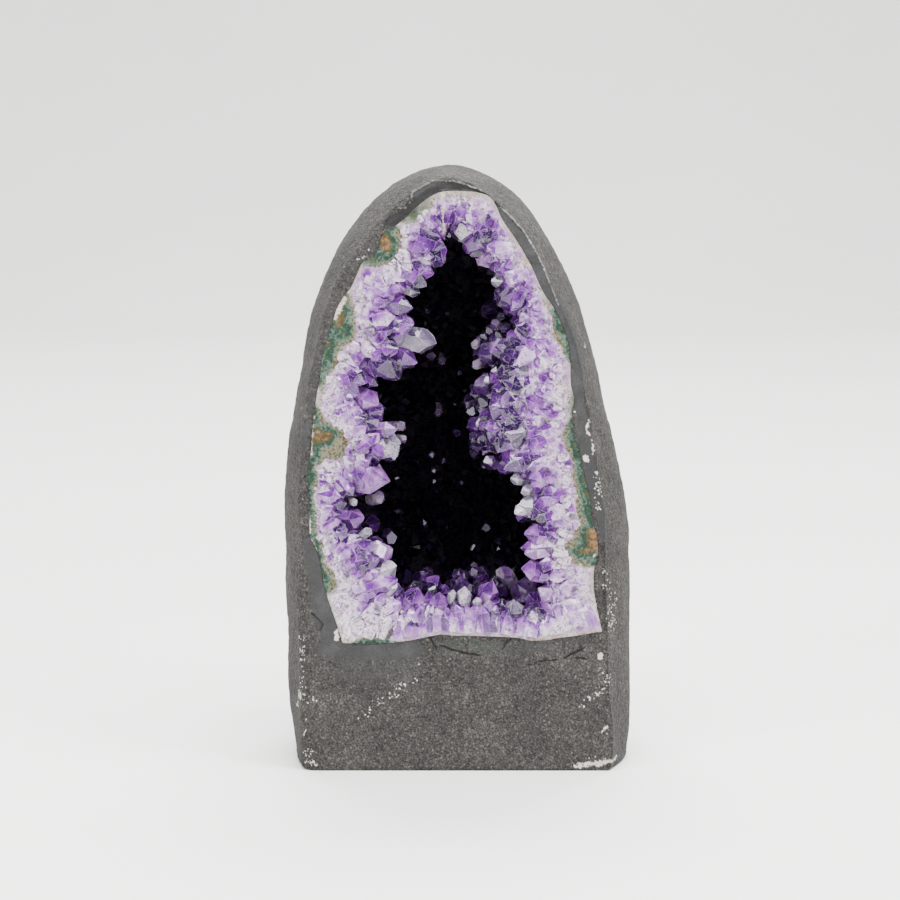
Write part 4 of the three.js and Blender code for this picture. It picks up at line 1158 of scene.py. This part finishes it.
def leading_cluster(name, finish, table, seed, kinds_used=REGULAR, towards=None):
    """A cluster from a table of single points. Each is about three radii long or more, so that it is rooted,
    and turns a quarter less to the front than its row says. The rest is as in every cluster."""
    tips = np.array([row[0] for row in table])
    ways = np.array([row[1] for row in table]) * (1.0, 0.75, 1.0)
    radii, tones = np.array([row[2:] for row in table]).T
    crystal_cluster(
        name, finish, tips, ways, radii, radii * 2.2 + 4.0, tones, seed, kinds_used, towards=towards
    )


# Each finish: its colours from pale to dark, the milk of its flaws, and the colour of light that has passed
# through it. Lilac amethyst is milky, the violet one clearer and deeper, the clear quartz glassy and nearly
# without colour, and the dim one dull grey: painted shade, because little light reaches it, and in its palest
# tones a painted highlight where a face catches the light.
lilac_quartz = amethyst("lilac_amethyst", (
    (0.0, "#cbbccb"), (0.12, "#c5abcf"), (0.3, "#a870be"), (0.5, "#7d2ea0"), (0.75, "#501072"), (1.0, "#2b0346")
), milk="#eae0ed", absorb="#d080dc", density=130.0, clarity=0.52, edges=0.22, flaws=0.27)
violet_quartz = amethyst("violet_amethyst", (
    (0.0, "#c2abca"), (0.25, "#9a66af"), (0.5, "#70288f"), (0.75, "#480d69"), (1.0, "#250340")
), milk="#ddcbe2", absorb="#c070d8", density=150.0, clarity=0.58, edges=0.18, flaws=0.3)
clear_quartz = amethyst("greyish_clear_quartz", (
    (0.0, "#c1bac2"), (0.35, "#968da0"), (0.7, "#685c7a"), (1.0, "#3f3152")
), milk="#e4dfe6", absorb="#cbb2dc", density=110.0, clarity=0.7, edges=0.45, flaws=0.25)
glint_and_shade_quartz = amethyst("dim_grey_amethyst_glint_and_shade", (
    (0.0, "#938a94"), (0.3, "#74637e"), (0.55, "#543469"), (0.8, "#35124b"), (1.0, "#1e0630")
), milk="#9a919e", absorb="#b070c8", density=160.0, clarity=0.35, edges=0.15, flaws=0.2, shine=0.4, polish=0.1)
leading_cluster("clear_points", clear_quartz, CLEAR_POINTS, 31, SHAPES, UP_FRONT)
leading_cluster("violet_points", violet_quartz, VIOLET_POINTS, 32)
leading_cluster("dim_points", glint_and_shade_quartz, DIM_POINTS, 33, SHAPES, UP_FRONT)
# The discs that these fill on the front, and two bare ones, as rows of x, z and radius.
taken = np.array([
    (tip[0] - way[0] * radius, tip[2] - way[2] * radius, radius * 0.95 + 1.0)
    for tip, way, radius, tone in CLEAR_POINTS + VIOLET_POINTS if tip[1] < 6
] + [(-4.6, 203.0, 3.2), (-36.0, 66.0, 3.6)])


# The sawn ones: milky and lilac points that the saw cut down to low facets, sunk in the massive quartz
# that holds them. Further in from the rind they lean more towards the hollow and are more violet.
rng = np.random.default_rng(5)
x, z, gap, inward, share, radii = on_front(
    rng, tries=14000, size=lambda share: 1.1 + 1.7 * share, tightness=0.64, shares=(0.27, 0.9), taken=taken
)
count = len(x)
depth_in = share * gap / (1 - share)
lean = smooth(depth_in / 7)
radii = np.minimum(radii, (0.75 * depth_in - 0.8) / (1 + 1.2 * lean))
lengths = np.minimum(radii * 2.0 + 1.5, 0.45 * depth_in + 0.8)
ways = np.stack([1.1 * lean * inward[:, 0], 0.4 * lean - 1, 1.1 * lean * inward[:, 1]], axis=-1)
ways += rng.normal(0, 0.25, (count, 3)) * (0.3 + 0.7 * lean)[:, None]
tips = np.stack([x, rng.uniform(-1.6, 0.9, count) + 1.3 * smooth((share - 0.5) / 0.4), z], axis=-1)
tones = 1.6 * share - 0.6 + rng.normal(0, 0.13, count)
# Paler at two places, and darker at the right middle, where the crystals recede, as painted shade.
tones += spots(x, z, ((-22, 176, 8, 8, -0.3), (16, 138, 10, 20, 0.35), (34, 79, 8, 12, -0.5)))
# In the two lower corners they are more unlike each other, and in the left one paler.
corner = smooth((70 - z) / 12)
tones += corner * (0.6 * smooth((np.abs(x - 1) - 13) / 12) * noise(tips, 3.0, 51) - 0.5 * smooth((-12 - x) / 12))
crystal_cluster("sawn_points", lilac_quartz, tips, ways, radii, lengths, np.clip(tones, -0.4, 1), 20, cut=0.3)


# The standing ones: violet points 3 to 9 mm wide, left whole beside the edge of the hollow. They turn from
# the front out over it, and the nearer ones are set further back and darker: more violet, and painted
# shade for how far back they are set.
x, z, gap, inward, share, radii = on_front(
    rng, tries=9000, size=lambda share: 1.4 + 2.0 * share ** 3, tightness=0.60, shares=(0.66, 1.0), taken=taken
)
count = len(x)
near = smooth((share - 0.62) / 0.38)
tilt = rng.uniform(0.15, 1.1, count)
ways = np.stack([inward[:, 0], -tilt, inward[:, 1]], axis=-1) + rng.normal(0, 0.2, (count, 3))
sunk = rng.uniform(-0.4, 5.0, count) * near
tips = np.stack([x, sunk + 0.3, z], axis=-1)
# Tones: more violet nearer the hollow, and darker, as painted shade, the further back they are set and at the
# right middle, where they recede.
tones = 0.38 + 0.15 * near + 0.03 * sunk + rng.normal(0, 0.15, count) + spots(x, z, ((18, 136, 9, 18, 0.3),))
crystal_cluster(
    "standing_points", lilac_quartz, tips, ways, radii, radii * 2.2 + 3.0, np.clip(tones, 0, 1), 21
)


# The row along the lower edge: points that stand nearly upright on the sill, laid open lengthwise by the
# saw, in two ranks. None grows where the earthy notch is.
NOTCH_X, NOTCH_HALF = -24.4, 2.4
# Each rank by where it starts and the step from point to point, and where both end on the right.
RANKS, ROW_END = ((-33.0, 3.1), (-20.0, 4.3)), 50.0
x = np.concatenate([np.arange(start, ROW_END, step) for start, step in RANKS])
count = len(x)
x = x + rng.uniform(-1.1, 1.1, count)
radii = rng.uniform(1.5, 2.8, count)
height = np.maximum(rng.uniform(5.0, 10.5, count), 2.2 * radii)
slant = 0.4 * smooth((-16 - x) / 14) - 0.5 * smooth((x - 26) / 16) + rng.normal(0, 0.12, count)
ways = np.stack([slant, rng.uniform(-0.25, -0.05, count), np.ones(count)], axis=-1)
z = np.interp(x, *np.array(SILL).T) + rng.uniform(0.8, 1.4, count) + height + radii * np.abs(slant)
tips = np.stack([x + slant * height, rng.uniform(0.2, 1.5, count), z], axis=-1)
tones = 0.3 - 0.45 * smooth((-x - 17) / 14) - 0.15 * smooth((x - 19) / 14) + rng.normal(0, 0.2, count)
kept = np.abs(x - NOTCH_X) > NOTCH_HALF
tips, ways, radii, height, tones = pick(kept, tips, ways, radii, height, np.clip(tones, -0.3, 1))
crystal_cluster("sill_points", lilac_quartz, tips, ways, radii, height, tones, 26)


# The half-lit rim: violet points rooted just behind the edge of the crystals, to the right and below, where
# light still falls in. They point away from that edge and to the front.

# How many places are tried, and how wide the rim is.
RIM_TRIES, RIM_WIDTH = 4000, 7.5
x, z = rng.uniform(-30, 24, RIM_TRIES), rng.uniform(62, 172, RIM_TRIES)
outwards, gap, _ = to_path(x, z, CRYSTAL_EDGE)
chosen = inside_outline(x, z, CRYSTAL_EDGE) & (gap < RIM_WIDTH)
chosen &= (outwards[:, 0] > 0.35) & (z > 108) & (z < 166) | (outwards[:, 1] < -0.7) & (z < 90)
x, z, gap, outwards = pick(chosen, x, z, gap, outwards)
radii = rng.uniform(1.6, 3.4, len(x))
kept = keep_apart(np.stack([x, z], axis=-1), radii, 0.6)
x, z, gap, outwards, radii = pick(kept, x, z, gap, outwards, radii)
count = len(x)
tips = np.stack([x, 5.0 + 1.2 * gap + rng.uniform(0, 3, count), z], axis=-1)
ways = np.stack([-0.8 * outwards[:, 0], np.full(count, -0.7), -0.8 * outwards[:, 1]], axis=-1)
ways += rng.normal(0, 0.2, (count, 3))
# Darker the further behind the edge they stand, as painted shade.
tones = np.clip(0.5 + 0.05 * gap + rng.normal(0, 0.12, count), 0, 1)
# Amethyst in half light: the same stone, glassy but with less shine, and a shade deeper, as painted half shade.
rim_quartz = amethyst("half_lit_amethyst", (
    (0.0, "#a98bb4"), (0.25, "#7f4c96"), (0.5, "#5a1f78"), (0.75, "#3a0a55"), (1.0, "#1e0334")
), milk="#b9a6c2", absorb="#c070d8", density=150.0, clarity=0.6, edges=0.2, flaws=0.15, shine=0.4)
crystal_cluster("half_lit_rim", rim_quartz, tips, ways, radii, radii * 2.2 + 7.0, tones, 25)


# The druse deeper in: the same points, grown on the wall of the hollow and standing out from it. Their
# colours are painted darker with depth, as painted shade: just behind the mouth, where some light still
# reaches them, they are violet, then dusky, and further in nearly black.

# How many places are tried, and the step along the wall over which its slope is taken.
DRUSE_TRIES, STEP = 14000, 0.02
# How deep the light of the mouth and the half light behind it reach, at which the druse's painted shade steps
# darker.
MOUTH_LIGHT, HALF_LIGHT = 11, 22
rng = np.random.default_rng(8)
angle, t = rng.uniform(0, 2 * np.pi, DRUSE_TRIES), rng.uniform(MOUTH_T, 1.0, DRUSE_TRIES)
roots = around(angle, *hollow_radius(angle, t))
wall = unit(np.cross(
    around(angle + STEP, *hollow_radius(angle + STEP, t)) - roots,
    around(angle, *hollow_radius(angle, np.minimum(t + STEP, 1.0))) - roots,
))
wall = np.where((wall * (roots - HOLLOW_CENTRE)).sum(axis=-1, keepdims=True) > 0, -wall, wall)
depth = roots[:, 1]
radii = rng.uniform(1.4, 3.4, DRUSE_TRIES) * (1 - 0.3 * smooth(depth / 30))
roots, wall, radii, depth = pick((roots[:, 2] > 55) & (depth > 4.0), roots, wall, radii, depth)
roots, wall, radii, depth = pick(keep_apart(roots, radii, 0.54), roots, wall, radii, depth)
ways = unit(wall + rng.normal(0, 0.32, wall.shape))
tips = roots + ways * (radii * rng.uniform(0.9, 2.1, len(radii)))[:, None]
# Their tones grow darker with depth, as painted shade, and paler low in the hollow, as painted light.
tones = rng.uniform(0.1, 0.9, len(radii)) + 0.02 * depth - 0.6 * smooth((105 - tips[:, 2]) / 35)
tones = np.clip(tones, 0, 1)

# Where single facets in the dark catch the front light, as [x, z] in the plane of the sawn front. The point
# seen nearest to each, past the light of the mouth, turns a tip face half way between camera and light.
# The camera's place is given as (x, depth, z), like the tips.
GLINTS = (
    (-11, 167), (-4.6, 168), (-15.2, 147.7), (-9.9, 148), (-4.2, 148), (1.4, 145), (-0.1, 133), (-6.5, 132),
    (-8, 129), (0.3, 121.6), (-9, 114.5), (-8, 110), (-5.5, 113), (-20.8, 108), (-8.8, 105), (1.6, 105.5),
    (-10.4, 102.6), (-19.9, 95.7), (-11.8, 91), (11.2, 90), (13.7, 86.7), (14.5, 82), (4.8, 84), (5.6, 77.5),
    (13.8, 112.6),
)
camera_place, half_way = np.array([-2.7, -1193.0, 284.0]), unit(np.array([0.04, -0.98, 0.20]))
seen = camera_place + (tips - camera_place) * (camera_place[1] / (camera_place[1] - tips[:, 1:2]))
glinting = np.zeros(len(tips), bool)
for gx, gz in GLINTS:
    far = np.hypot(seen[:, 0] - gx, seen[:, 2] - gz) + 0.05 * depth
    far[glinting | (depth < MOUTH_LIGHT)] = np.inf
    glinting[far.argmin()] = True
across = unit(wall - (wall @ half_way)[:, None] * half_way)
turned = math.cos(TIP_ANGLE) * half_way + math.sin(TIP_ANGLE) * across
glint_tips, turned, glint_radii, glint_tones = pick(glinting, tips, turned, radii, tones)
# They take the dim grey finish at pale tones, a painted highlight besides the face that mirrors the front light.
crystal_cluster(
    "glint_points", glint_and_shade_quartz, glint_tips, turned, glint_radii * 0.8, glint_radii * 2.4 + 3.0,
    glint_tones * 0.4, 27, REGULAR, towards=half_way
)

# Dusky amethyst still shows its violet, and deep amethyst is all but black: the stone's deep violet,
# darkened further as painted shade for their depth. Most of their faces have no polish, so that only a
# few of them shine faintly.
dusky_shaded_quartz = amethyst("dusky_amethyst_painted_shade", (
    (0.0, "#6a427c"), (0.25, "#482060"), (0.5, "#2c0e42"), (0.75, "#1a062a"), (1.0, "#0e0319")
), milk="#6c5c78", absorb="#b868c8", density=220.0, clarity=0.35, edges=0.12, flaws=0.10, shine=0.05,
    polish=0.12, dull=0.85)
deep_shaded_quartz = amethyst("deep_amethyst_painted_shade", (
    (0.0, "#3c1658"), (0.3, "#1f0a34"), (0.6, "#0f0419"), (1.0, "#05020a")
), milk="#352843", absorb="#b070c0", density=260.0, clarity=0.15, edges=0.08, flaws=0.06, shine=0.01,
    polish=0.12, dull=0.85)
# Deeper ones take darker finishes and tones, as painted shade.
# The others, by how deep they are: piece, finish, least and greatest depth, how much their tones differ, the
# palest tone, and seed.
tips, ways, radii, depth, tones = pick(~glinting, tips, ways, radii, depth, tones)
for name, finish, least, most, contrast, palest, seed in (
    ("violet_druse", violet_quartz, 0, MOUTH_LIGHT, 0.4, 0.45, 24),
    ("half_lit_druse", dusky_shaded_quartz, MOUTH_LIGHT, HALF_LIGHT, 1.0, 0.0, 22),
    ("dark_druse", deep_shaded_quartz, HALF_LIGHT, POCKET_DEPTH, 1.0, 0.0, 23),
):
    here = (depth >= least) & (depth < most)
    crystal_cluster(
        name, finish, tips[here], ways[here], radii[here], radii[here] * 2.4 + 2.0,
        tones[here] * contrast + palest, seed
    )
